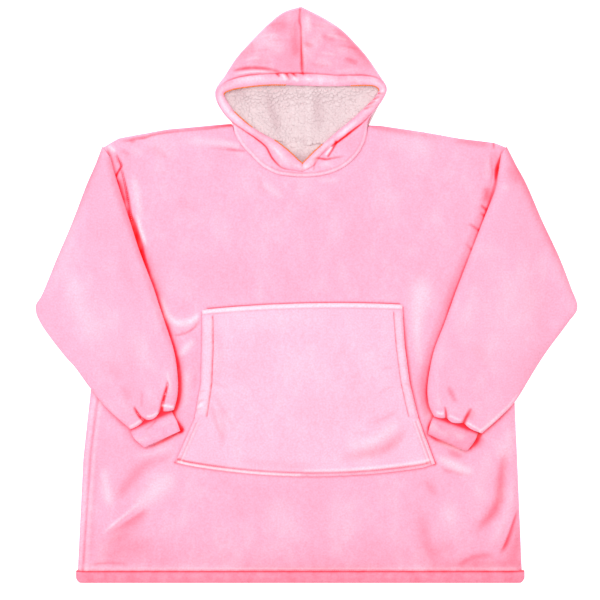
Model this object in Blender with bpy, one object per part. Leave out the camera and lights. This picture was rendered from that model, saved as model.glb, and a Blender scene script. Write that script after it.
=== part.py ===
"""Wearable blanket hoodie laid flat on its back, face up, hood spread above the shoulders.

X runs across the body, Y from the hem towards the hood and Z up from the floor. The wearer's right
is at -X. The tables give sizes in millimetres; the meshes are in metres.
"""

import math

import bpy
import numpy as np

# Cloth walls and gaps, in millimetres
GAP = 0.3
SEAM_GAP = 0.4
NECK_GAP = 0.8
BODY_WALL = 6.5
HOOD_WALL = 3.0
LINING_WALL = 3.0
POCKET_WALL = 4.0
POCKET_BAND_WALL = 2.2
SLEEVE_WALL = 6.2
CUFF_WALL = 3.2

# How high the layers lie and bulge, in millimetres
FRONT_BASE = BODY_WALL + GAP
FRONT_PUFF = 3.4
EDGE_ROLL = 3.0
SLEEVE_HEIGHT = 15.2
CUFF_HEIGHT = 11.0
REST_ON_BODY = FRONT_BASE + BODY_WALL + 0.7
HEM_PUFF = 4.6
POCKET_LIFT = 3.0
OPENING_LIFT = 2.2
BAND_ABOVE = 2.6
BAND_BELOW = 6.4

# Reach of the soft changes of height, in millimetres
PUFF_REACH = 60.0
SLEEVE_CLEAR = 14.0
SLEEVE_FADE = 46.0
SLEEVE_STEP = 34.0
SLEEVE_FALL = 60.0

# Colours as the photograph shows them, 0 to 255
FRONT_PINK = (255, 191, 220)
SLEEVE_PINK = (254, 191, 221)
POCKET_PINK = (254, 204, 229)
HOOD_PINK = (252, 172, 200)
CUFF_PINK = (253, 178, 214)
LINING_WHITE = (236, 214, 217)
PLUSH_ROUGHNESS = 0.95
METALLIC = 0.0

# Columns of the front, and rows between one level and the next
SIDE_COLUMNS = 8
BAND_COLUMNS = 1
STATION_PIECES = 1

# Levels of the front panel from the hem to the pocket top. Each has the rows below it and the
# points of the side edges, pocket sides and pocket band lines, then the rise of its middle.
LEVEL_COLUMNS = ("rows", "edge_r", "side_r", "line_r", "line_l", "side_l", "edge_l", "rise")
LEVELS = (
    (0, (-461, -553), (-266, -553), (-242, -553), (240, -553), (262, -553), (436, -553), 0),
    (6, (-447, -331), (-262, -336), (-238, -341), (232, -346), (256, -339), (422, -331), -20),
    (3, (-438, -246), (-223, -246), (-198, -246), (203, -246), (223, -245), (418, -245), -6),
    (2, (-430, -176), (-211, -176), (-188, -178), (188, -180), (206, -176), (415, -176), 0),
    (2, (-425, -102), (-209, -102), (-185, -104), (178, -106), (195, -102), (412, -102), 2),
    (2, (-419, -32), (-208, -32), (-186, -33), (171, -22), (190, -21), (408, -21), 5),
)
POCKET_FOOT, OPENING_FOOT, POCKET_TOP = 1, 2, 5
YOKE_ROWS = 9

SHOULDER_R = ((-402, 290), (-375, 310), (-278, 328), (-176, 338), (-150, 338))
SHOULDER_L = ((128, 336), (147, 337), (235, 323), (308, 310), (375, 302), (402, 292))

# Front neckline from the wearer's right shoulder to the left one
NECKLINE_R = ((-150, 338), (-143, 320), (-131, 299), (-112, 278), (-88, 256), (-60, 241), (-35, 236))
NECKLINE_L = ((24, 236), (54, 243), (78, 256), (100, 276), (114, 298), (122, 320), (128, 336))
NECKLINE_MIDDLE = (-8, 234.3)

# Stations of the hood from the crown seam, round the face, to the throat. Each has the point of
# the brim seam, the outermost point of the fold and the end of the under layer, then the heights.
STATION_COLUMNS = ("face", "fold", "end", "mouth", "face_z", "fold_z", "under_z")
HOOD_R = (
    ((-9, 440), (-11, 577), (-9, 303), (-9, 415), 30, 13, 0),
    ((-43, 440), (-47, 565), (-29, 303), (-43, 416), 30, 13, 0),
    ((-77, 439), (-83, 536), (-49, 306), (-77, 416), 29, 14, 0),
    ((-113, 436), (-115, 503), (-73, 311), (-112, 413), 28, 15, 0),
    ((-141, 431), (-141, 473), (-97, 317), (-136, 410), 26, 17, 0),
    ((-159, 424), (-163, 439), (-117, 325), (-153, 406), 24, 19, 0),
    ((-176, 407), (-182, 410), (-131, 331), (-164, 399), 22, 20, 0),
    ((-174, 384), (-180, 386), (-140, 335), (-156, 382), 22, 20, 0),
    ((-159, 358), (-165, 361), (-146, 341), (-142, 363), 22, 20, 3),
    ((-144, 341), (-149, 343), (-140, 341), (-126, 348), 22, 20.5, 8.4),
    ((-126, 328), (-143, 320), (-131, 326), (-109, 334), 22, 19.5, 11),
    ((-101, 311), (-131, 299), (-109, 308), (-84, 319), 22, 19, 11),
    ((-81, 294), (-112, 278), (-89, 290), (-62, 307), 22, 19, 11),
    ((-66, 272), (-88, 256), (-72, 268), (-42, 292), 21, 18.5, 11),
    ((-48, 256), (-60, 241), (-51, 252), (-27, 279), 20.5, 18.5, 11),
    ((-29, 249), (-35, 236), (-31, 246), (-17, 269), 20, 18.5, 11),
    ((-8, 247), (-8, 234.3), (-8, 244), (-8, 262), 20, 18.5, 11),
)
HOOD_L = (
    ((-9, 440), (-11, 577), (-9, 303), (-9, 415), 30, 13, 0),
    ((25, 438), (31, 556), (11, 303), (25, 414), 30, 13, 0),
    ((59, 436), (67, 533), (33, 305), (58, 414), 29, 14, 0),
    ((91, 436), (94, 507), (57, 309), (90, 415), 28, 15, 0),
    ((118, 436), (121, 476), (81, 315), (115, 416), 26, 17, 0),
    ((142, 430), (147, 438), (103, 322), (134, 415), 24, 19, 0),
    ((155, 413), (161, 413), (115, 328), (144, 407), 22, 20, 0),
    ((147, 389), (153, 390), (122, 333), (131, 390), 22, 20, 0),
    ((130, 365), (136, 367), (124, 340), (113, 370), 22, 20, 3),
    ((115, 345), (122, 346), (114, 341), (97, 355), 22, 20.5, 8.4),
    ((97, 331), (122, 320), (104, 328), (79, 340), 22, 19.5, 11),
    ((78, 317), (114, 298), (87, 312), (62, 326), 22, 19, 11),
    ((61, 303), (100, 276), (71, 296), (46, 312), 22, 19, 11),
    ((48, 284), (78, 256), (55, 277), (30, 298), 21, 18.5, 11),
    ((34, 266), (54, 243), (39, 260), (15, 285), 20.5, 18.5, 11),
    ((15, 251), (24, 236), (17, 247), (2, 272), 20, 18.5, 11),
    ((-8, 247), (-8, 234.3), (-8, 244), (-8, 262), 20, 18.5, 11),
)
CORNER_STATION = 9
LINED_STATIONS = 9
TOP_COLUMNS, FOLD_COLUMNS, UNDER_COLUMNS = 5, 4, 5
FOLD_REACH = 6.0
CROWN_BULGE = 2.5

# Sleeves from the shoulder to the cuff: the outer edge and the inner edge of each row
SLEEVE_COLUMNS = ("outer", "inner")
SLEEVE_R = (
    ((-408, 296), (-391, 272)),
    ((-421, 259), (-383, 243)),
    ((-439, 219), (-371, 204)),
    ((-469, 144), (-352, 146)),
    ((-499, 75), (-332, 84)),
    ((-528, 4), (-306, 16)),
    ((-543, -26), (-293, -24)),
    ((-530, -62), (-281, -60)),
    ((-489, -117), (-266, -106)),
    ((-461, -147), (-258, -142)),
    ((-431, -187), (-255, -180)),
    ((-397, -228), (-258, -206)),
    ((-351, -268), (-267, -231)),
)
SLEEVE_L = (
    ((402, 296), (388, 272)),
    ((418, 259), (384, 240)),
    ((440, 219), (379, 208)),
    ((472, 148), (350, 142)),
    ((506, 76), (327, 82)),
    ((530, 14), (300, 12)),
    ((543, -26), (287, -24)),
    ((523, -58), (274, -60)),
    ((479, -117), (258, -106)),
    ((450, -160), (247, -148)),
    ((417, -212), (242, -188)),
    ((386, -242), (245, -218)),
    ((343, -274), (253, -240)),
)
CUFF_R = (
    ((-351, -268), (-267, -231)),
    ((-342, -288), (-259, -252)),
    ((-324, -305), (-252, -272)),
)
CUFF_L = (
    ((343, -274), (253, -240)),
    ((334, -295), (247, -259)),
    ((321, -313), (242, -278)),
)
ACROSS, ROUND_STEPS = 8, 4

# Largest folds of the front: start, middle and end in plan, then height and half width
FOLD_TABLE_COLUMNS = ("start", "middle", "end", "height", "width")
FRONT_FOLDS = (
    ((-292, -335), (-367, -377), (-383, -431), -4.0, 17),
    ((-270, -345), (-315, -390), (-353, -431), 3.0, 15),
    ((-321, -427), (-362, -457), (-403, -487), -4.0, 12),
    ((391, -325), (375, -407), (329, -477), -4.0, 22),
    ((425, -427), (405, -473), (385, -520), -4.0, 13),
    ((-216, -50), (-240, -70), (-262, -78), -3.0, 13),
    ((-283, -21), (-258, -38), (-236, -52), 2.5, 12),
    ((-87, 222), (-65, 206), (-43, 188), 2.5, 18),
    ((292, -560), (340, -535), (390, -525), -2.5, 14),
)
POCKET_FOLDS = (
    ((206, -265), (151, -309), (59, -327), -2.6, 17),
    ((-190, -235), (-157, -243), (-120, -240), -1.4, 15),
)

# Turned hem: the ends and depths of its front strip
HEM_TOP_Y = -553.0
HEM_FOOT_Y = -577.0
HEM_R_X, HEM_L_X = -461.0, 436.0
HEM_END_ROUND = 9.0
HEM_COLUMNS, HEM_ROWS = 18, 5

# Back panel: how far its neck patch keeps inside the neckline, and the patch's free columns
NECK_PATCH_INSET = 5.0
PATCH_SKIP = 2
BACK_MIDDLE_Y = -60.0
BACK_YOKE_Y = 225.0
MILLIMETRE = 0.001


def points(*columns):
    """The table columns as one array of plan points, in millimetres."""
    return np.array(columns, dtype=float)


def column(table, names, name):
    """One named column of a table, as an array with a row for each of its rows."""
    return np.array([row[names.index(name)] for row in table], dtype=float)


def refine(rows, pieces):
    """Rows of a smooth curve through the given rows, with each stretch cut into pieces."""
    rows = np.asarray(rows, dtype=float)
    before = np.concatenate([2 * rows[:1] - rows[1:2], rows[:-2]])
    after = np.concatenate([rows[2:], 2 * rows[-1:] - rows[-2:-1]])
    found = []
    for step in range(pieces):
        t = step / pieces
        found.append(
            rows[:-1]
            + 0.5 * t * (rows[1:] - before)
            + 0.5 * t * t * (2 * before - 5 * rows[:-1] + 4 * rows[1:] - after)
            + 0.5 * t * t * t * (3 * rows[:-1] - before - 3 * rows[1:] + after)
        )
    mixed = np.stack(found, axis=1).reshape((-1,) + rows.shape[1:])
    return np.concatenate([mixed, rows[-1:]])


def ease(value):
    """A soft step from 0 to 1 while the value goes from 0 to 1."""
    value = np.clip(value, 0.0, 1.0)
    return value * value * (3.0 - 2.0 * value)


def along(start, end, count):
    """Points that cut the straight line between two points into count pieces."""
    share = np.linspace(0.0, 1.0, count + 1)[:, None]
    return (1.0 - share) * np.asarray(start, float) + share * np.asarray(end, float)


def distance_to_path(x, y, path, closed=False):
    """Distance of each plan point to a path, and how far along the nearest place lies, 0 to 1."""
    path = np.asarray(path, float)
    if closed:
        path = np.concatenate([path, path[:1]])
    best = np.full(x.shape, np.inf)
    place = np.zeros(x.shape)
    lengths = np.hypot(*(path[1:] - path[:-1]).T)
    total, done = lengths.sum(), 0.0
    for a, b, length in zip(path[:-1], path[1:], lengths):
        t = ((x - a[0]) * (b[0] - a[0]) + (y - a[1]) * (b[1] - a[1])) / max(length, 1e-9) ** 2
        t = np.clip(t, 0.0, 1.0)
        away = np.hypot(x - a[0] - t * (b[0] - a[0]), y - a[1] - t * (b[1] - a[1]))
        nearer = away < best
        best = np.where(nearer, away, best)
        place = np.where(nearer, (done + t * length) / total, place)
        done += length
    return best, place


def inside(x, y, outline):
    """Whether each plan point lies inside an outline."""
    found = np.zeros(x.shape, dtype=bool)
    for a, b in zip(outline, np.roll(outline, -1, axis=0)):
        crosses = (a[1] > y) != (b[1] > y)
        rise = b[1] - a[1]
        rise = rise if abs(rise) > 1e-9 else 1e-9
        found ^= crosses & (x < a[0] + (y - a[1]) * (b[0] - a[0]) / rise)
    return found


def folds(x, y, table):
    """Height that the folds of a table add at each plan point."""
    total = np.zeros(x.shape)
    for start, middle, end, height, width in table:
        path = refine(np.array([start, middle, end], float), 6)
        away, place = distance_to_path(x, y, path)
        fade = np.sqrt(np.clip(4.0 * place * (1.0 - place), 0.0, 1.0))
        total += height * fade * np.exp(-((away / width) ** 2))
    return total


def sleeve_outline(sleeve, cuff):
    """The plan outline of a sleeve with its cuff."""
    outer = [row[0] for row in sleeve] + [row[0] for row in cuff[1:]]
    inner = [row[1] for row in sleeve] + [row[1] for row in cuff[1:]]
    return np.array(outer + inner[::-1], float)


def clear_of_sleeves(x, y):
    """1 where the front lies free, 0 where a sleeve lies on it."""
    free = np.ones(x.shape)
    for sleeve, cuff in ((SLEEVE_R, CUFF_R), (SLEEVE_L, CUFF_L)):
        outline = sleeve_outline(sleeve, cuff)
        away, _ = distance_to_path(x, y, outline, closed=True)
        away = np.where(inside(x, y, outline), -away, away)
        free *= ease((away - SLEEVE_CLEAR) / SLEEVE_FADE)
    return free


def edge_x(y, name):
    """The side edge of the body at a height of the table, in millimetres across."""
    shoulder = SHOULDER_R[0] if name == "edge_r" else SHOULDER_L[-1]
    edge = np.concatenate([column(LEVELS, LEVEL_COLUMNS, name), [shoulder]])
    return np.interp(y, edge[:, 1], edge[:, 0])


def support(x, y):
    """Height of what a sleeve lies on, falling to the floor beyond the side of the body."""
    beyond = np.maximum(edge_x(y, "edge_r") - x, x - edge_x(y, "edge_l"))
    return REST_ON_BODY * (1.0 - ease((beyond - SLEEVE_STEP) / SLEEVE_FALL))


def neckline(pieces):
    """The front neckline, in plan, from the wearer's right shoulder to the left one."""
    return refine(np.array(NECKLINE_R + (NECKLINE_MIDDLE,) + NECKLINE_L, float), pieces)


def panel_row(parts, counts):
    """One row of a panel from the end points of its parts, each cut evenly."""
    row = [along(a, b, count)[:-1] for a, b, count in zip(parts[:-1], parts[1:], counts)]
    return np.concatenate(row + [np.array([parts[-1]], float)])


def shoulder_points(shoulder, count):
    """Points on a shoulder seam, evenly spaced across."""
    table = np.array(shoulder, float)
    across = np.linspace(table[0, 0], table[-1, 0], count + 1)
    return np.stack([across, np.interp(across, table[:, 0], table[:, 1])], axis=1)


def front_plan():
    """Plan points of the front panel, row by row, and the row number of each level."""
    ring = neckline(STATION_PIECES)
    middle = len(ring) - 1 - 2 * BAND_COLUMNS
    counts = (SIDE_COLUMNS, BAND_COLUMNS, middle, BAND_COLUMNS, SIDE_COLUMNS)
    rows, marks = [], []
    for level in LEVELS:
        row = panel_row(level[1:7], counts)
        first = SIDE_COLUMNS + BAND_COLUMNS
        share = np.linspace(-1.0, 1.0, middle + 1)
        row[first : first + middle + 1, 1] += level[7] * (1.0 - share**2)
        if rows:
            rows.extend(blend(rows[-1], row, level[0]))
        else:
            rows.append(row)
        marks.append(len(rows) - 1)
    right = shoulder_points(SHOULDER_R, SIDE_COLUMNS)[:-1]
    left = shoulder_points(SHOULDER_L, SIDE_COLUMNS)[1:]
    rows.extend(blend(rows[-1], np.concatenate([right, ring, left]), YOKE_ROWS))
    return np.array(rows), marks


def blend(lower, upper, count):
    """Rows between two rows, without the lower one and with the upper one."""
    return [lower + (upper - lower) * step / count for step in range(1, count + 1)]


def front_height(x, y):
    """Height of the top face of the front panel."""
    edge = np.minimum(x - edge_x(y, "edge_r"), edge_x(y, "edge_l") - x)
    hem = y - HEM_TOP_Y
    inward = np.minimum(edge, hem * 1.4)
    free = clear_of_sleeves(x, y)
    lift = FRONT_PUFF * ease(inward / PUFF_REACH) + folds(x, y, FRONT_FOLDS) * ease(inward / 18.0)
    roll = EDGE_ROLL * (1.0 - ease(edge / 16.0))
    return FRONT_BASE + BODY_WALL + lift * free - roll


def with_height(plan, height):
    """Plan points with their heights, as solid points."""
    return np.concatenate([plan, np.broadcast_to(height, plan.shape[:-1])[..., None]], axis=-1)


def lining_of_points(top, wall, floor):
    """The under face of a laid panel: a wall below its top face, and never below its floor."""
    under = top.copy()
    under[..., 2] = np.maximum(top[..., 2] - wall, floor)
    return under


def finish(name, colour):
    """A rough cloth material with the given screen colour."""
    material = bpy.data.materials.new(name)
    material.use_nodes = True
    surface = material.node_tree.nodes["Principled BSDF"]
    share = np.array(colour, float) / 255.0
    light = np.where(share <= 0.04045, share / 12.92, ((share + 0.055) / 1.055) ** 2.4)
    surface.inputs["Base Color"].default_value = (*[float(part) for part in light], 1.0)
    surface.inputs["Roughness"].default_value = PLUSH_ROUGHNESS
    surface.inputs["Metallic"].default_value = METALLIC
    return material


def grid_faces(rows, columns, offset, wrap):
    """Triangles of one face of a wall, whose points lie in rows and columns."""
    found = []
    for r in range(rows - 1):
        for c in range(columns if wrap else columns - 1):
            a = offset + r * columns + c
            b = offset + r * columns + (c + 1) % columns
            found.append((a, b, b + columns))
            found.append((a, b + columns, a + columns))
    return found


def rim_faces(line, shift):
    """Triangles that join a line of points of one face to the same line of the other."""
    found = []
    for a, b in zip(line[:-1], line[1:]):
        found.append((a, a + shift, b + shift))
        found.append((a, b + shift, b))
    return found


def wall(name, outer, inner, material, wrap=False):
    """A closed cloth wall between an outer and an inner face with the same rows and columns."""
    rows, columns = outer.shape[:2]
    shift = rows * columns
    vertices = np.concatenate([outer.reshape(-1, 3), inner.reshape(-1, 3)]) * MILLIMETRE
    faces = grid_faces(rows, columns, 0, wrap)
    faces += [face[::-1] for face in grid_faces(rows, columns, shift, wrap)]
    first = list(range(columns)) + ([0] if wrap else [])
    last = [(rows - 1) * columns + c for c in first]
    faces += rim_faces(first, shift)
    faces += rim_faces(last[::-1], shift)
    if not wrap:
        left = [r * columns for r in range(rows)]
        right = [r * columns + columns - 1 for r in range(rows)]
        faces += rim_faces(left[::-1], shift)
        faces += rim_faces(right, shift)
    corners = vertices[np.array(faces)]
    volume = np.einsum("ij,ij->i", corners[:, 0], np.cross(corners[:, 1], corners[:, 2])).sum()
    if volume < 0.0:
        faces = [face[::-1] for face in faces]
    mesh = bpy.data.meshes.new(name)
    mesh.from_pydata([tuple(map(float, v)) for v in vertices], [], faces)
    mesh.materials.append(material)
    mesh.shade_smooth()
    thing = bpy.data.objects.new(name, mesh)
    bpy.context.scene.collection.objects.link(thing)
    return thing


def hood_section(station):
    """Outer and inner points of the hood at one station, from the brim seam over the fold."""
    face, fold, end, _, face_z, fold_z, under_z = station
    face, fold, end = points(*face), points(*fold), points(*end)
    length = np.hypot(*(fold - face))
    way = (fold - face) / length
    reach = min(FOLD_REACH, 0.9 * length)
    middle = fold - way * reach
    half = 0.5 * (fold_z - under_z)
    share = np.linspace(0.0, 1.0, TOP_COLUMNS + 1)[:-1]
    bulge = CROWN_BULGE * np.sin(math.pi * share) * min(1.0, length / 60.0)
    top_z = face_z + (fold_z - face_z) * share + bulge
    top = with_height(along(face, middle, TOP_COLUMNS)[:-1], top_z)
    angle = np.linspace(0.5 * math.pi, -0.5 * math.pi, FOLD_COLUMNS + 1)
    turn = middle + np.cos(angle)[:, None] * way * reach
    turn_in = middle + np.cos(angle)[:, None] * way * (reach - HOOD_WALL)
    turn = with_height(turn, under_z + half + half * np.sin(angle))
    turn_in = with_height(turn_in, under_z + half + (half - HOOD_WALL) * np.sin(angle))
    under = with_height(along(middle, end, UNDER_COLUMNS)[1:], under_z)
    raised = np.array([0.0, 0.0, HOOD_WALL])
    outer = np.concatenate([top, turn, under])
    inner = np.concatenate([top - raised, turn_in, under + raised])
    return outer, inner


def fitted_stations(table):
    """The stations with the fold of the throat part moved off the neckline by its gap."""
    found = []
    for number, station in enumerate(table):
        face, fold, end = points(*station[0]), points(*station[1]), points(*station[2])
        if number > CORNER_STATION:
            fold = fold + NECK_GAP * (face - fold) / np.hypot(*(face - fold))
        if number < LINED_STATIONS:
            end = end + np.array([0.0, SEAM_GAP])
        found.append((tuple(face), tuple(fold), tuple(end)) + tuple(station[3:]))
    return found


def hood_half(name, table, side, material):
    """One half of the hood, and the faces of its wall."""
    sections = [hood_section(station) for station in fitted_stations(table)]
    outer = refine(np.array([section[0] for section in sections]), STATION_PIECES)
    inner = refine(np.array([section[1] for section in sections]), STATION_PIECES)
    for face in (outer, inner):
        face[0, :, 0] += 0.5 * side * SEAM_GAP
        face[-1, :, 0] += 0.5 * side * SEAM_GAP
    wall(name, outer, inner, material)
    return outer, inner


def hood_lining(name, inner, material):
    """The lining on the under layer of a hood half, from that layer's own points."""
    rows = (LINED_STATIONS - 1) * STATION_PIECES + 1
    base = inner[:rows, TOP_COLUMNS + FOLD_COLUMNS :].copy()
    base[:, 0] = 0.7 * base[:, 0] + 0.3 * base[:, 1]
    base[..., 2] += GAP
    top = base + np.array([0.0, 0.0, LINING_WALL])
    wall(name, top, base, material)


def brim_band(name, material):
    """The casing round the mouth of the hood, an open strip whose ends meet at the throat."""
    table = HOOD_R[::-1] + HOOD_L[1:]
    face = column(table, STATION_COLUMNS, "face")
    mouth = column(table, STATION_COLUMNS, "mouth")
    face_z = column(table, STATION_COLUMNS, "face_z")
    way = (mouth - face) / np.hypot(*(mouth - face).T)[:, None]
    start = face + way * SEAM_GAP
    width = np.hypot(*(mouth - start).T)
    low = face_z - BAND_BELOW
    high = face_z + BAND_ABOVE
    # Place across the band, 0 at the seam and 1 at the mouth, and height, 0 low and 1 high
    loop = ((0, 0.1), (0, 0.72), (0.2, 0.95), (0.5, 1.0), (0.8, 0.93), (1, 0.55), (0.97, 0.2))
    loop += ((0.75, 0), (0.3, 0))
    centre = np.array([0.5, 0.5])
    outer, inner = [], []
    for across, rise in loop:
        outer.append(band_points(start, way, width, low, high, across, rise))
        across, rise = centre + (np.array([across, rise]) - centre) * np.array([0.72, 0.34])
        inner.append(band_points(start, way, width, low, high, across, rise))
    outer = refine(np.stack(outer, axis=1), STATION_PIECES)
    inner = refine(np.stack(inner, axis=1), STATION_PIECES)
    for rows in (outer, inner):
        rows[0, :, 0] -= 0.5 * SEAM_GAP
        rows[-1, :, 0] += 0.5 * SEAM_GAP
    wall(name, outer, inner, material, wrap=True)


def band_points(start, way, width, low, high, across, rise):
    """The points of one lengthwise line of the brim casing."""
    plan = start + way * (width * across)[:, None]
    return with_height(plan, low + (high - low) * rise)


def tube_loop(outer_edge, inner_edge, height, thickness):
    """Plan and height of a flattened tube's loop, and of the loop inside its wall."""
    outer_edge, inner_edge = points(*outer_edge), points(*inner_edge)
    way = (inner_edge - outer_edge) / np.hypot(*(inner_edge - outer_edge))
    half = 0.5 * height
    start, stop = outer_edge + way * half, inner_edge - way * half
    loops = []
    for radius in (half, half - thickness):
        side = np.linspace(0.5 * math.pi, -0.5 * math.pi, ROUND_STEPS + 1)[1:-1]
        top = with_height(along(start, stop, ACROSS), half + radius)
        inner_round = with_height(stop + np.cos(side)[:, None] * way * radius, half + radius * np.sin(side))
        base = with_height(along(stop, start, ACROSS), half - radius)
        outer_round = with_height(start - np.cos(side)[:, None] * way * radius, half - radius * np.sin(side))
        loops.append(np.concatenate([top, inner_round, base, outer_round]))
    return loops


def flat_tube(name, table, height, thickness, material, lead=0.0):
    """A flattened tube that lies on the body and the floor, its first row moved on by the lead."""
    loops = [tube_loop(outer, inner, height, thickness) for outer, inner in table]
    outer = np.array([loop[0] for loop in loops])
    inner = np.array([loop[1] for loop in loops])
    if lead:
        step = (outer[1] - outer[0]).mean(axis=0) * np.array([1.0, 1.0, 0.0])
        step *= lead / np.linalg.norm(step)
        outer[0] += step
        inner[0] += step
    for face in (outer, inner):
        face[..., 2] += support(face[..., 0], face[..., 1])
    wall(name, outer, inner, material, wrap=True)


def pocket_parts(top, marks, cloth, band_cloth):
    """The pouch pocket and its two opening bands, from the front panel's own points."""
    left = SIDE_COLUMNS
    right = top.shape[1] - SIDE_COLUMNS
    foot, opening, head = marks[POCKET_FOOT], marks[OPENING_FOOT], marks[POCKET_TOP]
    base = top[foot : head + 1, left:right].copy()
    rows, columns = base.shape[:2]
    across = np.linspace(0.0, 1.0, columns)[None, :]
    up = np.linspace(0.0, 1.0, rows)[:, None]
    lift = POCKET_LIFT * np.sin(math.pi * across) ** 0.7 * np.sin(math.pi * up) ** 0.7
    open_share = ease((up - (opening - foot) / (rows - 1)) * 4.0) * ease((1.0 - up) * 4.0)
    lift = lift + OPENING_LIFT * open_share * (1.0 - ease(across * 8.0) + 1.0 - ease((1.0 - across) * 8.0))
    lift = np.maximum(lift + folds(base[..., 0], base[..., 1], POCKET_FOLDS) * np.sin(math.pi * up), 0.0)
    base[..., 2] += GAP + lift
    face = base + np.array([0.0, 0.0, POCKET_WALL])
    wall("pocket", face, base, cloth)
    for name, strip in (
        ("pocket_band_right", face[opening - foot :, : BAND_COLUMNS + 1]),
        ("pocket_band_left", face[opening - foot :, -BAND_COLUMNS - 1 :]),
    ):
        under = strip + np.array([0.0, 0.0, GAP])
        over = under + np.array([0.0, 0.0, POCKET_BAND_WALL])
        wall(name, over, under, band_cloth)


def back_parts(cloth, lining_cloth):
    """The back panel on the floor, and the patch of lining that shows inside the neck."""
    ends_r = column(HOOD_R, STATION_COLUMNS, "end")[: LINED_STATIONS - 1]
    ends_l = column(HOOD_L, STATION_COLUMNS, "end")[1 : LINED_STATIONS - 1]
    curve = np.concatenate([ends_r[::-1], ends_l])
    ring = refine(curve, STATION_PIECES)
    ring = np.concatenate([[SHOULDER_R[-1]], ring, [SHOULDER_L[0]]])
    front_ring = neckline(4)
    place = np.linspace(0.0, 1.0, len(front_ring))
    share = np.linspace(0.06, 0.94, len(ring))
    yoke = np.stack([np.interp(share, place, front_ring[:, axis]) for axis in (0, 1)], axis=1)
    centre = np.array([NECKLINE_MIDDLE[0], SHOULDER_R[-1][1]])
    yoke += NECK_PATCH_INSET * (centre - yoke) / np.hypot(*(centre - yoke).T)[:, None]
    middle = len(ring) - 1
    side = 4
    counts = (side, middle, side)
    rows = []
    for y, inset in ((HEM_TOP_Y, 250.0), (BACK_MIDDLE_Y, 190.0)):
        parts = ((edge_x(y, "edge_r"), y), (-inset, y), (inset, y), (edge_x(y, "edge_l"), y))
        row = panel_row(parts, counts)
        rows.extend(blend(rows[-1], row, 3) if rows else [row])
    right = along((edge_x(BACK_YOKE_Y, "edge_r"), BACK_YOKE_Y), yoke[0], side)[:-1]
    left = along(yoke[-1], (edge_x(BACK_YOKE_Y, "edge_l"), BACK_YOKE_Y), side)[1:]
    rows.extend(blend(rows[-1], np.concatenate([right, yoke, left]), 2))
    patch_row = len(rows) - 1
    right = shoulder_points(SHOULDER_R, side)[:-1]
    left = shoulder_points(SHOULDER_L, side)[1:]
    rows.extend(blend(rows[-1], np.concatenate([right, ring, left]), 3))
    plan = np.array(rows)
    top = with_height(plan, BODY_WALL)
    wall("back_panel", top, with_height(plan, 0.0), cloth)
    first = side + PATCH_SKIP
    base = top[patch_row:, first:-first] + np.array([0.0, 0.0, GAP])
    wall("back_lining", base + np.array([0.0, 0.0, LINING_WALL]), base, lining_cloth)


def hem_strip(name, floor, thickness, puff, material):
    """A turned hem below the edge of a panel, with rounded ends."""
    across = np.linspace(0.0, 1.0, HEM_COLUMNS + 1)
    down = np.linspace(0.0, 1.0, HEM_ROWS + 1)
    x = HEM_R_X + (HEM_L_X - HEM_R_X) * across
    from_end = np.minimum(x - HEM_R_X, HEM_L_X - x)
    foot = HEM_FOOT_Y + HEM_END_ROUND * np.clip(1.0 - from_end / HEM_END_ROUND, 0.0, 1.0)
    top_y = HEM_TOP_Y - SEAM_GAP
    y = top_y + (foot[None, :] - top_y) * down[:, None]
    plan = np.stack([np.broadcast_to(x, y.shape), y], axis=-1)
    shape = np.sin(math.pi * np.clip(0.12 + 0.76 * down, 0.0, 1.0))[:, None]
    ends = 0.35 + 0.65 * ease(from_end / 24.0)[None, :]
    height = floor + thickness - EDGE_ROLL * (puff > 0.0) + (puff + EDGE_ROLL) * shape * ends * (puff > 0.0)
    wall(name, with_height(plan, height), with_height(plan, floor), material)


def main():
    """Builds the hoodie, panel by panel."""
    for thing in list(bpy.data.objects):
        bpy.data.objects.remove(thing)
    front_cloth = finish("front plush", FRONT_PINK)
    back_cloth = finish("back plush", FRONT_PINK)
    sleeve_cloth = finish("sleeve plush", SLEEVE_PINK)
    pocket_cloth = finish("pocket plush", POCKET_PINK)
    band_cloth = finish("pocket band plush", CUFF_PINK)
    hood_cloth = finish("hood plush", HOOD_PINK)
    brim_cloth = finish("brim plush", HOOD_PINK)
    cuff_cloth = finish("cuff plush", CUFF_PINK)
    hem_cloth = finish("hem plush", FRONT_PINK)
    lining_cloth = finish("curly lining", LINING_WHITE)

    back_parts(back_cloth, lining_cloth)
    hem_strip("hem_back", 0.0, BODY_WALL, 0.0, hem_cloth)

    plan, marks = front_plan()
    top = with_height(plan, front_height(plan[..., 0], plan[..., 1]))
    wall("front_panel", top, lining_of_points(top, BODY_WALL, FRONT_BASE), front_cloth)
    hem_strip("hem_front", FRONT_BASE, BODY_WALL, HEM_PUFF, hem_cloth)
    pocket_parts(top, marks, pocket_cloth, band_cloth)

    flat_tube("sleeve_right", SLEEVE_R, SLEEVE_HEIGHT, SLEEVE_WALL, sleeve_cloth)
    flat_tube("sleeve_left", SLEEVE_L, SLEEVE_HEIGHT, SLEEVE_WALL, sleeve_cloth)
    flat_tube("cuff_right", CUFF_R, CUFF_HEIGHT, CUFF_WALL, cuff_cloth, lead=SEAM_GAP)
    flat_tube("cuff_left", CUFF_L, CUFF_HEIGHT, CUFF_WALL, cuff_cloth, lead=SEAM_GAP)

    _, inner = hood_half("hood_right", HOOD_R, -1, hood_cloth)
    hood_lining("hood_lining_right", inner, lining_cloth)
    _, inner = hood_half("hood_left", HOOD_L, 1, hood_cloth)
    hood_lining("hood_lining_left", inner, lining_cloth)
    brim_band("hood_band", brim_cloth)


main()
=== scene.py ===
"""A pink plush hoodie blanket with a curly lining, laid flat on a pale floor and seen from above.

X runs across the body, Y from the hem towards the hood and Z up. The wearer's right is at -X. Sizes in
the tables are millimetres; the meshes are metres. Every panel lies where its solid in the frame lies.
"""

import logging
import math
from dataclasses import dataclass, field
from enum import Enum

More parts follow.
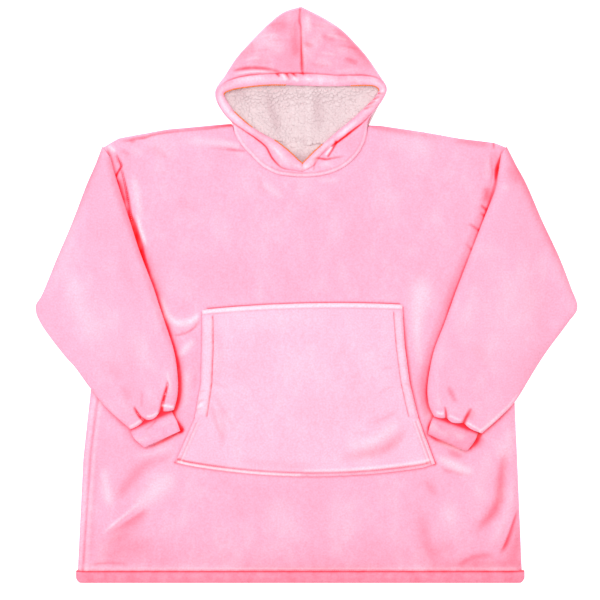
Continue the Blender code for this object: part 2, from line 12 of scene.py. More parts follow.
import bmesh
import bpy
import numpy as np
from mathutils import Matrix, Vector


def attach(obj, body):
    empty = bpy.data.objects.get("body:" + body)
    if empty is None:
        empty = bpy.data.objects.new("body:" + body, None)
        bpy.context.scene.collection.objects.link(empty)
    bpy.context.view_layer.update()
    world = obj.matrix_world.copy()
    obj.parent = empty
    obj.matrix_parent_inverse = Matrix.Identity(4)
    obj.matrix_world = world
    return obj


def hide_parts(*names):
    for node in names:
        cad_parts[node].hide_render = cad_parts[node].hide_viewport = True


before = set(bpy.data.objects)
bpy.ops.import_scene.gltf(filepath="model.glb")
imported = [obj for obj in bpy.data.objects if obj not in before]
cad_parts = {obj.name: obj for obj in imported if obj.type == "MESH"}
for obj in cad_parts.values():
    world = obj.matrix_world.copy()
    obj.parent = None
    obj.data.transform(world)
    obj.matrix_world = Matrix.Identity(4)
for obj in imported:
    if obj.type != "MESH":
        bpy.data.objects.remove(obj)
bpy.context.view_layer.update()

LOG = logging.getLogger("hoodie")
MILLIMETRE = 0.001
Plan = tuple[float, float]
Colour = tuple[float, float, float]
Socket = bpy.types.NodeSocket
Grid = np.ndarray


class Side(Enum):
    """The wearer's side of a piece, with its direction along X."""

    RIGHT = -1
    LEFT = 1


class Held(Enum):
    """How a panel's cloth is held."""

    LAID = "laid"
    FOLDED = "folded"
    GATHERED = "gathered"


def screen(*shade: int) -> Colour:
    """Turns a screen colour, red, green and blue from 0 to 255, into linear light."""
    share = np.array(shade, float) / 255.0
    return tuple(np.where(share <= 0.04045, share / 12.92, ((share + 0.055) / 1.055) ** 2.4).tolist())


def ease(value: Grid) -> Grid:
    """Returns a soft step from 0 to 1 while the value goes from 0 to 1."""
    value = np.clip(value, 0.0, 1.0)
    return value * value * (3.0 - 2.0 * value)


def bell(value: Grid, width: float) -> Grid:
    """Returns 1 where the value is 0, and less the further it is from that."""
    return np.exp(-((value / width) ** 2))


def refine(rows: Grid, pieces: int) -> Grid:
    """Puts a smooth curve through rows of points.

    Args:
        rows: The rows, of any shape after the first axis.
        pieces: How many pieces each stretch is cut into.

    Returns:
        The finer rows, which hold the given ones.
    """
    rows = np.asarray(rows, dtype=float)
    before = np.concatenate([2 * rows[:1] - rows[1:2], rows[:-2]])
    after = np.concatenate([rows[2:], 2 * rows[-1:] - rows[-2:-1]])
    found = []
    for t in (step / pieces for step in range(pieces)):
        square = 0.5 * t * t * (2 * before - 5 * rows[:-1] + 4 * rows[1:] - after)
        cube = 0.5 * t * t * t * (3 * rows[:-1] - before - 3 * rows[1:] + after)
        found.append(rows[:-1] + 0.5 * t * (rows[1:] - before) + square + cube)
    return np.concatenate([np.stack(found, axis=1).reshape((-1,) + rows.shape[1:]), rows[-1:]])


def along(start: Plan, end: Plan, count: int) -> Grid:
    """Cuts the straight line between two points into count pieces and returns the points."""
    share = np.linspace(0.0, 1.0, count + 1)[:, None]
    return (1.0 - share) * np.asarray(start, float) + share * np.asarray(end, float)


def blend(lower: Grid, upper: Grid, count: int) -> list[Grid]:
    """Returns rows between two rows, without the lower one and with the upper one."""
    return [lower + (upper - lower) * step / count for step in range(1, count + 1)]


def with_height(plan: Grid, height: Grid | float) -> Grid:
    """Joins plan points and their heights into solid points."""
    return np.concatenate([plan, np.broadcast_to(height, plan.shape[:-1])[..., None]], axis=-1)


def near_path(x: Grid, y: Grid, path: Grid) -> tuple[Grid, Grid, Grid]:
    """Measures plan points against a path.

    Args:
        x: Places across.
        y: Places along the body.
        path: The path's points.

    Returns:
        Distance to the path, distance run along it in millimetres, and the side, below 0 on its right.
    """
    best, run, side = np.full(x.shape, np.inf), np.zeros(x.shape), np.ones(x.shape)
    done = 0.0
    for a, b in zip(path[:-1], path[1:]):
        step = b - a
        length = max(float(np.hypot(*step)), 1e-9)
        t = np.clip(((x - a[0]) * step[0] + (y - a[1]) * step[1]) / length**2, 0.0, 1.0)
        away = np.hypot(x - a[0] - t * step[0], y - a[1] - t * step[1])
        nearer = away < best
        best = np.where(nearer, away, best)
        run = np.where(nearer, done + t * length, run)
        cross = step[0] * (y - a[1]) - step[1] * (x - a[0])
        side = np.where(nearer, np.where(cross < 0.0, -1.0, 1.0), side)
        done += length
    return best, run, side


def away_from(x: Grid, y: Grid, outline: Grid) -> Grid:
    """Returns the distance outside a closed outline, below 0 inside it."""
    away, _, _ = near_path(x, y, np.concatenate([outline, outline[:1]]))
    return np.where(inside(x, y, outline), -away, away)


def inside(x: Grid, y: Grid, outline: Grid) -> Grid:
    """Tells whether each plan point lies inside a closed outline.

    Args:
        x: Where the points are across the body, in millimetres.
        y: Where the points are along it.
        outline: Corners of the outline.

    Returns:
        True for each point inside.
    """
    found = np.zeros(x.shape, dtype=bool)
    for a, b in zip(outline, np.roll(outline, -1, axis=0)):
        rise = b[1] - a[1]
        rise = rise if abs(rise) > 1e-9 else 1e-9
        found ^= ((a[1] > y) != (b[1] > y)) & (x < a[0] + (y - a[1]) * (b[0] - a[0]) / rise)
    return found


def lumps(x: Grid, y: Grid, spacing: float, seed: int) -> Grid:
    """Returns soft lumps from about -1 to 1, with hills about one spacing apart.

    Args:
        x: Where the points are across the body, in millimetres.
        y: Where the points are along it.
        spacing: How far apart the hills are.
        seed: Seed of the slopes.

    Returns:
        The lumps, one value a point.
    """
    angle = np.random.RandomState(seed).rand(64, 64) * 2.0 * math.pi
    u, v = x / spacing + 640.0, y / spacing + 640.0
    i, j = np.floor(u).astype(int), np.floor(v).astype(int)
    s, t = u - i, v - j

    def corner(across: int, up: int) -> Grid:
        """Returns the slope of one corner at the points."""
        turn = angle[(i + across) % 64, (j + up) % 64]
        return np.cos(turn) * (s - across) + np.sin(turn) * (t - up)

    low, high = (corner(0, up) * (1 - ease(s)) + corner(1, up) * ease(s) for up in (0, 1))
    return 1.7 * (low * (1 - ease(t)) + high * ease(t))


@dataclass(frozen=True)
class Crease:
    """A ridge, trough or shaded line of the cloth whose width and strength change along it.

    Attributes:
        line: Rows of x, y, half width and strength.
        height: How far it stands up at strength 1, or below 0 how deep it is.
        deep: How far painted shade reddens the cloth at strength 1. Past 1 in all it goes on to pure red.
        pale: How far a painted highlight brightens the cloth at strength 1.
        soft: Shares of the length over which the two ends fade.
        left: Width factor on the left of the line, looking along it.
        right: Width factor on its right.
    """

    line: tuple[tuple[float, float, float, float], ...]
    height: float = 0.0
    deep: float = 0.0
    pale: float = 0.0
    soft: tuple[float, float] = (0.25, 0.25)
    left: float = 1.0
    right: float = 1.0

    def path(self) -> Grid:
        """Returns the line as a smooth curve."""
        return refine(np.array(self.line, float), 5)

    def share(self, x: Grid, y: Grid) -> Grid:
        """Returns the strength of the crease at each plan point.

        Args:
            x: Where the points are across the body, in millimetres.
            y: Where the points are along it.

        Returns:
            The strength.
        """
        rows = self.path()
        reach = 2.6 * rows[:, 2].max() * max(self.left, self.right)
        low, high = rows[:, :2].min(axis=0) - reach, rows[:, :2].max(axis=0) + reach
        near = (x > low[0]) & (x < high[0]) & (y > low[1]) & (y < high[1])
        found = np.zeros(x.shape)
        if not near.any():
            return found
        away, run, side = near_path(x[near], y[near], rows[:, :2])
        length = np.concatenate([[0.0], np.cumsum(np.hypot(*(rows[1:, :2] - rows[:-1, :2]).T))])
        width = np.interp(run, length, rows[:, 2]) * np.where(side > 0.0, self.left, self.right)
        fade = np.interp(run, length, rows[:, 3])
        place = run / length[-1]
        for soft, from_end in zip(self.soft, (place, 1.0 - place)):
            if soft > 0.0:
                fade = fade * ease(from_end / soft)
        found[near] = fade * bell(away, width)
        return found

    def relief(self, x: Grid, y: Grid) -> tuple[Grid, Grid, Grid]:
        """Returns the height, the painted shade and the painted highlight that the crease adds."""
        share = self.share(x, y)
        return self.height * share, self.deep * share, self.pale * share


@dataclass(frozen=True)
class Seam:
    """A sewn line: a narrow groove, soft rolls beside it and puckers across it.

    Attributes:
        path: The line, in plan.
        groove: Depth of the groove.
        width: Half the width of the groove.
        roll: Height of the soft rolls beside the groove.
        roll_at: How far the rolls lie from the line.
        pucker: Height of the puckers that cross the line.
        pitch: Mean distance between puckers.
        deep: How far painted shade reddens the groove's cloth.
        pale: How far a painted highlight brightens the rolls.
    """

    path: tuple[Plan, ...]
    groove: float = 1.4
    width: float = 2.6
    roll: float = 0.8
    roll_at: float = 7.0
    pucker: float = 0.5
    pitch: float = 17.0
    deep: float = 0.45
    pale: float = 0.25

    def curve(self) -> Grid:
        """Returns the line as a smooth curve."""
        return refine(np.array(self.path, float), 6)

    def relief(self, x: Grid, y: Grid) -> tuple[Grid, Grid, Grid]:
        """Returns the height, the painted shade and the painted highlight that the seam adds.

        Args:
            x: Where the points are across the body, in millimetres.
            y: Where the points are along it.

        Returns:
            The three of them, one value a point.
        """
        away, run, side = near_path(x, y, self.curve())
        line = bell(away, self.width)
        rolls = bell(away - self.roll_at, 0.6 * self.roll_at)
        wander = lumps(run, run * 0.0 + 7.0 * self.roll_at, 2.6 * self.pitch, 5)
        beat = np.sin(2.0 * math.pi * (run + 9.0 * wander + 2.0 * side) / self.pitch)
        strength = 0.55 + 0.45 * lumps(run, run * 0.0, 3.1 * self.pitch, 9)
        cross = bell(away, 2.2 * self.roll_at) * beat * strength
        height = self.roll * rolls - self.groove * line + self.pucker * cross * (1.0 - 0.6 * line)
        # Painted shade in the groove and in the puckers' troughs, and a painted highlight on the rolls.
        deep = self.deep * line * (0.8 + 0.2 * beat) + 0.12 * self.deep * np.clip(-cross, 0.0, 1.0)
        return height, deep, self.pale * rolls * (0.8 + 0.2 * beat)


@dataclass
class Relief:
    """Folds and seams that lie on one panel with painted shade and highlights, over its soft and fine lumps
    and its mottled colour.
    """

    parts: tuple[Crease | Seam, ...] = ()
    soft: float = 0.9
    fine: float = 0.35
    mottle: float = 0.2
    seed: int = 1

    def on(self, x: Grid, y: Grid) -> tuple[Grid, Grid, Grid]:
        """Returns height in millimetres, painted shade and painted highlight, each with random mottle, at
        plan points.

        Args:
            x: Where the points are across the body, in millimetres.
            y: Where the points are along it.

        Returns:
            The three of them, one value a point.
        """
        height = self.soft * lumps(x, y, 72.0, self.seed) + self.fine * lumps(x, y, 23.0, self.seed + 1)
        patch = lumps(x, y * 0.7, 64.0, self.seed + 2) + 0.5 * lumps(x, y * 0.6, 21.0, self.seed + 3)
        patch = patch + 0.35 * lumps(x, y * 0.5, 8.0, self.seed + 4)
        deep = self.mottle * 0.3 * np.clip(patch, 0.0, 1.0)
        pale = self.mottle * 0.8 * np.clip(-patch, 0.0, 1.0)
        for part in self.parts:
            up, red, light = part.relief(x, y)
            height, deep, pale = height + up, deep + red, pale + light
        return height, np.clip(deep, 0.0, 2.0), np.clip(pale, 0.0, 1.0)


class Board:
    """A node tree that is being built, with one call for each node."""

    def __init__(self, tree: bpy.types.NodeTree) -> None:
        """Keeps the tree."""
        self.tree = tree

    def add(self, kind: str, choices: dict | None = None, inputs: dict | None = None) -> bpy.types.Node:
        """Adds a node.

        Args:
            kind: Blender's type of node.
            choices: Its properties.
            inputs: Values, or outputs of other nodes, for its inputs by name or number.

        Returns:
            The node.
        """
        node = self.tree.nodes.new(kind)
        for name, choice in (choices or {}).items():
            setattr(node, name, choice)
        self.feed(node, inputs or {})
        return node

    def feed(self, node: bpy.types.Node, inputs: dict) -> None:
        """Sets or links the inputs of a node."""
        for name, value in inputs.items():
            if isinstance(value, Socket):
                self.tree.links.new(value, node.inputs[name])
            else:
                node.inputs[name].default_value = value

    def mix(self, share: Socket, first: Colour | Socket, second: Colour) -> Socket:
        """Mixes two colours by a share and returns the result.

        Args:
            share: How much of the second colour shows.
            first: Colour at share 0.
            second: Colour at share 1.

        Returns:
            The mixed colour.
        """
        first = (*first, 1.0) if isinstance(first, tuple) else first
        inputs = {0: share, 6: first, 7: (*second, 1.0)}
        return self.add("ShaderNodeMix", {"data_type": "RGBA", "clamp_factor": True}, inputs).outputs[2]

    def stored(self, name: str) -> Socket:
        """Returns a number that is stored on the cloth."""
        return self.add("ShaderNodeAttribute", {"attribute_name": name}).outputs["Fac"]

    def bump(self, height: Socket, strength: float, depth: float, **more: bool | Socket) -> Socket:
        """Returns a normal with relief.

        Args:
            height: How high it is.
            strength: How strongly it shows.
            depth: How deep it is, in metres.
            more: Whether to invert it, and the normal that it lies over, as invert and over.

        Returns:
            The normal.
        """
        inputs = {"Height": height, "Strength": strength, "Distance": depth}
        if "over" in more:
            inputs["Normal"] = more["over"]
        return self.add("ShaderNodeBump", {"invert": more.get("invert", False)}, inputs).outputs["Normal"]


@dataclass(frozen=True)
class Finish:
    """A finish of cloth or thread.

    Attributes:
        name: Name of the finish.
        base: Its main colour.
    """

    name: str
    base: Colour

    def material(self) -> bpy.types.Material:
        """Builds the material and returns it."""
        material = bpy.data.materials.new(self.name)
        material.use_nodes = True
        board = Board(material.node_tree)
        place = board.add("ShaderNodeTexCoord").outputs["Object"]
        board.feed(material.node_tree.nodes["Principled BSDF"], self.surface(board, place))
        return material

    def surface(self, board: Board, place: Socket) -> dict:
        """Returns what goes into the surface's inputs, which each finish says for itself."""
        raise NotImplementedError


@dataclass(frozen=True)
class PlushFinish(Finish):
    """Short soft plush: mottled nap, a bright sheen at grazing angles, red folds of painted shade and painted
    highlights.

    Attributes:
        deep: Colour of the painted shade in the folds.
        core: Colour of the painted shade in the tightest folds.
        pale: Colour of the painted highlights, and of the light patches of the mottle.
        grain: Size of the nap's clumps, in metres.
    """

    deep: Colour = screen(255, 62, 84)
    core: Colour = screen(255, 14, 18)
    pale: Colour = screen(255, 226, 240)
    grain: float = 0.0036

    def surface(self, board: Board, place: Socket) -> dict:
        """Returns what goes into the surface's inputs.

        Args:
            board: The nodes to add to.
            place: Where it is.

        Returns:
            Values and sockets by input name.
        """
        noise = [{"Scale": 1.0 / self.grain, "Detail": 3.0}, {"Scale": 3.2 / self.grain, "Detail": 1.0}]
        noise = [board.add("ShaderNodeTexNoise", {}, {**size, "Vector": place}) for size in noise]
        clumps, pile = (node.outputs["Fac"] for node in noise)
        # Painted shade: the stored share reddens the colour towards the fold colour, and past 1 on to pure
        # red.
        shade_and_mottle = board.stored("shade_and_mottle")
        past = board.add("ShaderNodeMath", {"operation": "SUBTRACT"}, {0: shade_and_mottle, 1: 1.0}).outputs[0]
        colour = board.mix(past, board.mix(shade_and_mottle, self.base, self.deep), self.core)
        # Painted highlights, and the light patches of the mottle, pale the colour.
        colour = board.mix(board.stored("highlight_and_mottle"), colour, self.pale)
        spread = {"Value": clumps, "From Min": 0.3, "From Max": 0.7, "To Min": 0.89, "To Max": 1.1}
        shade = board.add("ShaderNodeMapRange", {}, spread).outputs["Result"]
        colour = board.add("ShaderNodeVectorMath", {"operation": "SCALE"}, {0: colour, "Scale": shade})
        return {
            "Base Color": colour.outputs[0],
            "Normal": board.bump(pile, 0.25, 0.0006, over=board.bump(clumps, 0.35, 0.0012)),
            "Roughness": 0.92,
            "Specular IOR Level": 0.12,
            "Sheen Weight": 0.3,
            "Sheen Roughness": 0.45,
            "Sheen Tint": (1.0, 0.78, 0.88, 1.0),
        }


@dataclass(frozen=True)
class CurlyFinish(Finish):
    """Curly lamb-like pile of the lining.

    Attributes:
        shade: Colour of the painted shade between the curls.
        band_shade: Colour of the painted shade bands on the lining, where shade falls.
        curl: Size of a curl, in metres.
        glow: Strength of a painted glow, an emission that lightens the pile's shade.
    """

    shade: Colour
    band_shade: Colour
    curl: float = 0.007
    glow: float = 0.16

    def surface(self, board: Board, place: Socket) -> dict:
        """Returns what goes into the surface's inputs.

        Args:
            board: The nodes to add to.
            place: Where it is.

        Returns:
            Values and sockets by input name.
        """
        sizes = {"Scale": 1.0 / self.curl, "Smoothness": 0.6, "Vector": place}
        cells = board.add("ShaderNodeTexVoronoi", {"feature": "SMOOTH_F1"}, sizes).outputs["Distance"]
        spread = board.add("ShaderNodeMapRange", {}, {"From Min": 0.1, "From Max": 0.75, "Value": cells})
        colour = board.mix(spread.outputs["Result"], self.base, self.shade)
        return {
            "Base Color": board.mix(board.stored("shade_and_mottle"), colour, self.band_shade),
            "Normal": board.bump(cells, 0.2, 0.0015, invert=True),
            "Roughness": 0.95,
            "Specular IOR Level": 0.1,
            "Sheen Weight": 0.25,
            "Sheen Roughness": 0.5,
            # Painted glow: the pile emits its own colour, which lightens its shade.
            "Emission Color": (*self.base, 1.0),
            "Emission Strength": self.glow,
        }


@dataclass(frozen=True)
class ThreadFinish(Finish):
    """Spun sewing thread."""

    def surface(self, board: Board, place: Socket) -> dict:
        """Returns what goes into the surface's inputs.

        Args:
            board: The nodes to add to.
            place: Where it is.

        Returns:
            Values and sockets by input name.
        """
        inputs = {"Scale": 900.0, "Vector": place}
        twist = board.add("ShaderNodeTexWave", {"bands_direction": "DIAGONAL"}, inputs).outputs["Fac"]
        return {"Base Color": (*self.base, 1.0), "Normal": board.bump(twist, 0.4, 0.0002), "Roughness": 0.6}


def add_mesh(name: str, points: Grid, edges: list, faces: list) -> bpy.types.Object:
    """Adds a mesh object to the scene, from points in millimetres, and returns it.

    Args:
        name: What it is called.
        points: Its points.
        edges: Pairs of point numbers.
        faces: Rows of point numbers.

    Returns:
        The new object.
    """
    mesh = bpy.data.meshes.new(name)
    mesh.from_pydata((points * MILLIMETRE).tolist(), edges, faces)
    thing = bpy.data.objects.new(name, mesh)
    bpy.context.scene.collection.objects.link(thing)
    return thing


def store(mesh: bpy.types.Mesh, name: str, values: Grid) -> None:
    """Stores a number for each point of a mesh."""
    mesh.attributes.new(name, "FLOAT", "POINT").data.foreach_set("value", values.astype(np.float32))


def cells(index: Grid) -> Grid:
    """Returns the four-sided faces of a grid of point numbers."""
    parts = (index[:-1, :-1], index[:-1, 1:], index[1:, 1:], index[1:, :-1])
    return np.stack(parts, axis=-1).reshape(-1, 4)


def grid_area(face: Grid, wrap: bool = False) -> float:
    """Returns the area of a face of a wall in square metres, from its points in millimetres.

    Args:
        face: Rows of points of the face.
        wrap: Whether its last column meets its first.

    Returns:
        The area.
    """
    if wrap:
        face = np.concatenate([face, face[:, :1]], axis=1)
    cross = np.linalg.norm(np.cross(face[1:, 1:] - face[:-1, :-1], face[1:, :-1] - face[:-1, 1:]), axis=-1)
    return float(0.5 * cross.sum()) * MILLIMETRE * MILLIMETRE


@dataclass
class ClothWall:
    """A closed cloth wall between an outer and an inner face, in millimetres.

    Attributes:
        name: Name of the piece.
        outer: Points of the outer face, in rows and columns.
        inner: Points of the inner face, the same way.
        wrap: Whether the columns close into a loop.
        deep: Painted shade of the outer face, with random mottle.
        pale: Painted highlights of the outer face, with random mottle.
        coarse: How many times coarser the hidden inner face is.
    """

    name: str
    outer: Grid
    inner: Grid
    wrap: bool = False
    deep: Grid | float = 0.0
    pale: Grid | float = 0.0
    coarse: int = 4

    def build(self, material: bpy.types.Material) -> bpy.types.Object:
        """Makes the mesh object in a finish and returns it.

        Args:
            material: Its look.

        Returns:
            The object.
        """
        rows, columns = self.outer.shape[:2]
        row_picks, column_picks = self._picks(rows, False), self._picks(columns, self.wrap)
        kept = np.ix_(row_picks, column_picks)
        hidden = self.inner[kept]
        fine = np.arange(rows * columns).reshape(rows, columns)
        rough = rows * columns + np.arange(hidden.shape[0] * hidden.shape[1]).reshape(hidden.shape[:2])
        if self.wrap:
            fine, rough = (np.concatenate([grid, grid[:, :1]], axis=1) for grid in (fine, rough))
            column_picks = [*column_picks, columns]
        faces = cells(fine).tolist() + cells(rough)[:, ::-1].tolist()
        faces += self._rim(fine[0], rough[0], column_picks, False)
        faces += self._rim(fine[-1], rough[-1], column_picks, True)
        if not self.wrap:
            faces += self._rim(fine[:, 0], rough[:, 0], row_picks, True)
            faces += self._rim(fine[:, -1], rough[:, -1], row_picks, False)
        points = np.concatenate([self.outer.reshape(-1, 3), hidden.reshape(-1, 3)])
        thing = add_mesh(self.name, points, [], faces)
        mesh = thing.data
        shape = bmesh.new()
        shape.from_mesh(mesh)
        if shape.calc_volume(signed=True) < 0.0:
            mesh.flip_normals()
        shape.free()
        mesh.materials.append(material)
        mesh.shade_smooth()
        mesh.set_sharp_from_angle(angle=math.radians(50.0))
        # Painted shade and painted highlights, with the random mottle, go to the shaders as stored numbers.
        for name, values in (("shade_and_mottle", self.deep), ("highlight_and_mottle", self.pale)):
            outer = np.broadcast_to(values, (rows, columns))
            store(mesh, name, np.concatenate([outer.reshape(-1), outer[kept].reshape(-1)]))
        return thing

    def _picks(self, count: int, closed: bool) -> list[int]:
        """Returns the rows or columns that the hidden face keeps."""
        picks = list(range(0, count, self.coarse))
        return picks if closed or picks[-1] == count - 1 else [*picks, count - 1]

    @staticmethod
    def _rim(fine: Grid, rough: Grid, picks: list[int], turned: bool) -> list[list[int]]:
        """Returns the faces that join an edge of the outer face to the same edge of the hidden one.

        Args:
            fine: Point numbers along the outer face's edge.
            rough: Point numbers along the hidden face's edge.
            picks: Which fine points have a partner.
            turned: Whether the faces look the other way.

        Returns:
            The faces.
        """
        found = []
        for number, (first, last) in enumerate(zip(picks[:-1], picks[1:])):
            outer = fine[first : last + 1].tolist()
            face = [outer[0], int(rough[number]), int(rough[number + 1]), *outer[:0:-1]]
            found.append(face[::-1] if turned else face)
        return found


@dataclass
class Repeat:
    """A small form that Geometry Nodes repeat along paths or over a face."""

    tree: bpy.types.NodeTree = field(init=False)

    def begin(self, name: str, geometry: str, numbers: tuple[str, ...], whole: tuple[str, ...] = ()) -> Board:
        """Starts the node tree.

        Args:
            name: Name of the tree.
            geometry: Name of its geometry input.
            numbers: Names of its inputs for sizes.
            whole: Names of its inputs for whole numbers.

        Returns:
            The tree, with no node in it.
        """
        self.tree = bpy.data.node_groups.new(name, "GeometryNodeTree")
        kinds = {geometry: "Geometry", **dict.fromkeys(numbers, "Float"), **dict.fromkeys(whole, "Int")}
        for label, kind in kinds.items():
            self.tree.interface.new_socket(label, in_out="INPUT", socket_type=f"NodeSocket{kind}")
        self.tree.interface.new_socket("Made", in_out="OUTPUT", socket_type="NodeSocketGeometry")
        return Board(self.tree)

    @staticmethod
    def end(board: Board, copies: dict[str, Socket], material: bpy.types.Material) -> None:
        """Places the copies, makes them real, shades them smooth and dresses them.

        Args:
            board: The nodes to add to.
            copies: Inputs of the node that places the copies.
            material: Its look.
        """
        made = board.add("GeometryNodeInstanceOnPoints", {}, copies)
        made = board.add("GeometryNodeRealizeInstances", {}, {"Geometry": made.outputs["Instances"]})
        made = board.add("GeometryNodeSetShadeSmooth", {}, {"Geometry": made.outputs["Geometry"]})
        inputs = {"Geometry": made.outputs["Geometry"], "Material": material}
        made = board.add("GeometryNodeSetMaterial", {}, inputs)
        board.add("NodeGroupOutput", {}, {"Made": made.outputs["Geometry"]})

    def run(self, thing: bpy.types.Object, sizes: dict[str, float]) -> bpy.types.Object:
        """Runs the tree on an object, keeps its result as a plain mesh and returns the object.

        Args:
            thing: The object that carries the paths or the face.
            sizes: The tree's sizes, by the name of their input.

        Returns:
            The same object.
        """
        modifier = thing.modifiers.new("made", "NODES")
        modifier.node_group = self.tree
        for item in self.tree.interface.items_tree:
            if item.item_type == "SOCKET" and item.in_out == "INPUT" and item.name in sizes:
                modifier[item.identifier] = sizes[item.name]
        thing.update_tag()
        bpy.context.view_layer.update()
        seen = thing.evaluated_get(bpy.context.evaluated_depsgraph_get())
        mesh = bpy.data.meshes.new_from_object(seen)
        mesh.name = thing.name
        thing.modifiers.remove(modifier)
        thing.data = mesh
        return thing


@dataclass
class Stitching(Repeat):
    """Rows of sewn stitches that follow paths on the cloth.

    Attributes:
        pitch: Distance from stitch to stitch, in metres.
        length: Length of a stitch.
        thickness: Thickness of the thread.
    """

    pitch: float = 0.0042
    length: float = 0.0031
    thickness: float = 0.0005

    def plan(self, thread: bpy.types.Material) -> None:
        """Builds the node tree that lays stitches of a thread along a path.

        Args:
            thread: Look of the thread.
        """
        board = self.begin("laid stitches", "Paths", ("Pitch", "Length", "Thickness"))
        given = board.add("NodeGroupInput").outputs
        curve = board.add("GeometryNodeMeshToCurve", {}, {"Mesh": given["Paths"]}).outputs["Curve"]
        inputs = {"Curve": curve, "Length": given["Pitch"]}
        even = board.add("GeometryNodeResampleCurve", {"mode": "LENGTH"}, inputs)
        bead = board.add("GeometryNodeMeshUVSphere", {}, {"Segments": 6, "Rings": 4, "Radius": 0.5})
        sizes = {"X": given["Length"], "Y": given["Thickness"], "Z": given["Thickness"]}
        tangent = board.add("GeometryNodeInputTangent").outputs["Tangent"]
        turn = board.add("FunctionNodeAlignRotationToVector", {"axis": "X"}, {"Vector": tangent})
        copies = {
            "Points": even.outputs["Curve"],
            "Instance": bead.outputs["Mesh"],
            "Rotation": turn.outputs["Rotation"],
            "Scale": board.add("ShaderNodeCombineXYZ", {}, sizes).outputs["Vector"],
        }
        self.end(board, copies, thread)

    def sew(self, name: str, paths: list[Grid]) -> bpy.types.Object:
        """Sews stitches along paths of solid points and returns them as a plain mesh object.

        Args:
            name: What it is called.
            paths: Solid points of each path.

        Returns:
            The stitches.
        """
        first = np.cumsum([0, *(len(path) for path in paths)])
        edges = [(a + n, a + n + 1) for a, path in zip(first.tolist(), paths) for n in range(len(path) - 1)]
        thing = add_mesh(name, np.concatenate([np.asarray(path) for path in paths]), edges, [])
        return self.run(thing, {"Pitch": self.pitch, "Length": self.length, "Thickness": self.thickness})


@dataclass
class Curls(Repeat):
    """Tufts of curly pile that stand on the lining.

    Attributes:
        spacing: Least distance between tufts, in metres.
        size: Width of a tuft.
        seed: Seed of their places.
    """

    spacing: float = 0.0056
    size: float = 0.0088
    seed: int = 11

    def plan(self, pile: bpy.types.Material) -> None:
        """Builds the node tree that plants tufts of a pile on a face.

        Args:
            pile: Look of the tufts.
        """
        board = self.begin("curly tufts", "Backing", ("Spacing", "Size"), ("Seed",))
        given = board.add("NodeGroupInput").outputs
        inputs = {"Mesh": given["Backing"], "Distance Min": given["Spacing"], "Density Max": 60000.0}
        choices = {"distribute_method": "POISSON"}
        spread = board.add("GeometryNodeDistributePointsOnFaces", choices, {**inputs, "Seed": given["Seed"]})
        tuft = board.add("GeometryNodeMeshUVSphere", {}, {"Radius": 0.5, "Segments": 7, "Rings": 5})
        turn, shape = (
            board.add(
                "FunctionNodeRandomValue",
                {"data_type": "FLOAT_VECTOR"},
                {0: least, 1: most, "Seed": given["Seed"]},
            ).outputs[0]
            for least, most in (
                ((-0.25, -0.25, 0.0), (0.25, 0.25, 2.0 * math.pi)),
                ((1.0, 0.8, 0.1), (1.9, 1.3, 0.17)),
            )
        )
        scale = board.add("ShaderNodeVectorMath", {"operation": "SCALE"}, {0: shape, "Scale": given["Size"]})
        copies = {
            "Points": spread.outputs["Points"],
            "Instance": tuft.outputs["Mesh"],
            "Rotation": turn,
            "Scale": scale.outputs[0],
        }
        self.end(board, copies, pile)

    def plant(self, name: str, face: Grid, deep: Grid) -> bpy.types.Object:
        """Plants tufts on a face.

        Args:
            name: Name of the tufts' object.
            face: Points of the face in rows and columns, in millimetres.
            deep: Painted shade of the pile at each point, with its random mottle, which the tufts take over.

        Returns:
            The tufts as a plain mesh object.
        """
        points = face.reshape(-1, 3)
        quads = cells(np.arange(len(points)).reshape(face.shape[:2]))
        centre = points[quads].mean(axis=1)
        quads = quads[inside(centre[:, 0], centre[:, 1], MOUTH)]
        thing = add_mesh(name, points, [], quads.tolist())
        store(thing.data, "shade_and_mottle", np.broadcast_to(deep, face.shape[:2]).reshape(-1))
        return self.run(thing, {"Spacing": self.spacing, "Size": self.size, "Seed": self.seed})


@dataclass
class Workshop:
    """Finishes and tools that the pieces share."""

    stitching: Stitching = field(default_factory=Stitching)
    edging: Stitching = field(default_factory=lambda: Stitching(0.0042, 0.0046, 0.003))
    curls: Curls = field(default_factory=Curls)

    def __post_init__(self) -> None:
        """Makes the finishes and the node trees."""
        # One pink plush in four copies of slightly different lightness, painted light and shade for how
        # brightly each part is lit.
        self.front = PlushFinish("pink body plush", screen(252, 174, 202)).material()
        self.pocket = PlushFinish("pink pocket plush", screen(252, 187, 213)).material()
        self.hood = PlushFinish("pink hood plush", screen(252, 177, 205)).material()
        self.cuff = PlushFinish("pink cuff plush", screen(252, 182, 213)).material()
        # The lining's pile colour, its painted shade between the curls and its painted shade bands.
        pile = screen(221, 202, 205), screen(214, 193, 196), screen(196, 168, 173)
        self.lining = CurlyFinish("curly lining", *pile).material()
        self.stitching.plan(ThreadFinish("pink thread", screen(255, 165, 195)).material())
        self.edging.plan(ThreadFinish("orange thread", screen(255, 128, 18)).material())
        self.curls.plan(self.lining)

    @staticmethod
    def settle(
        wall: ClothWall,
        finish: bpy.types.Material,
        node: str,
        cut: tuple[float, float, Held],
        rests_on: tuple[str, ...] = (),
        area: float = 0.0,
        extras: tuple[bpy.types.Object, ...] = (),
    ) -> None:
        """Builds a wall, hides the solid that it stands for, fixes it to the frame and logs its faces and cut
        area.

        Args:
            wall: The wall.
            finish: Its finish.
            node: The solid that it stands for.
            cut: Width and length of its cut, in metres, and how its cloth is held; unpacked but not used.
            rests_on: What it lies on; not used.
            area: Area of its cut, in square metres, or 0 for that of its outer face.
            extras: Stitches and tufts on it.
        """
        piece, width, length, held = wall.build(finish), *cut
        area = area or grid_area(wall.outer, wall.wrap)
        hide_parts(node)
        for thing in (piece, *extras):
            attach(thing, "root")
        LOG.info("%s: %d faces, cut %.3f square metres", piece.name, len(piece.data.polygons), area)


GAP = 0.3
SEAM_GAP = 0.1
NECK_GAP = 0.15

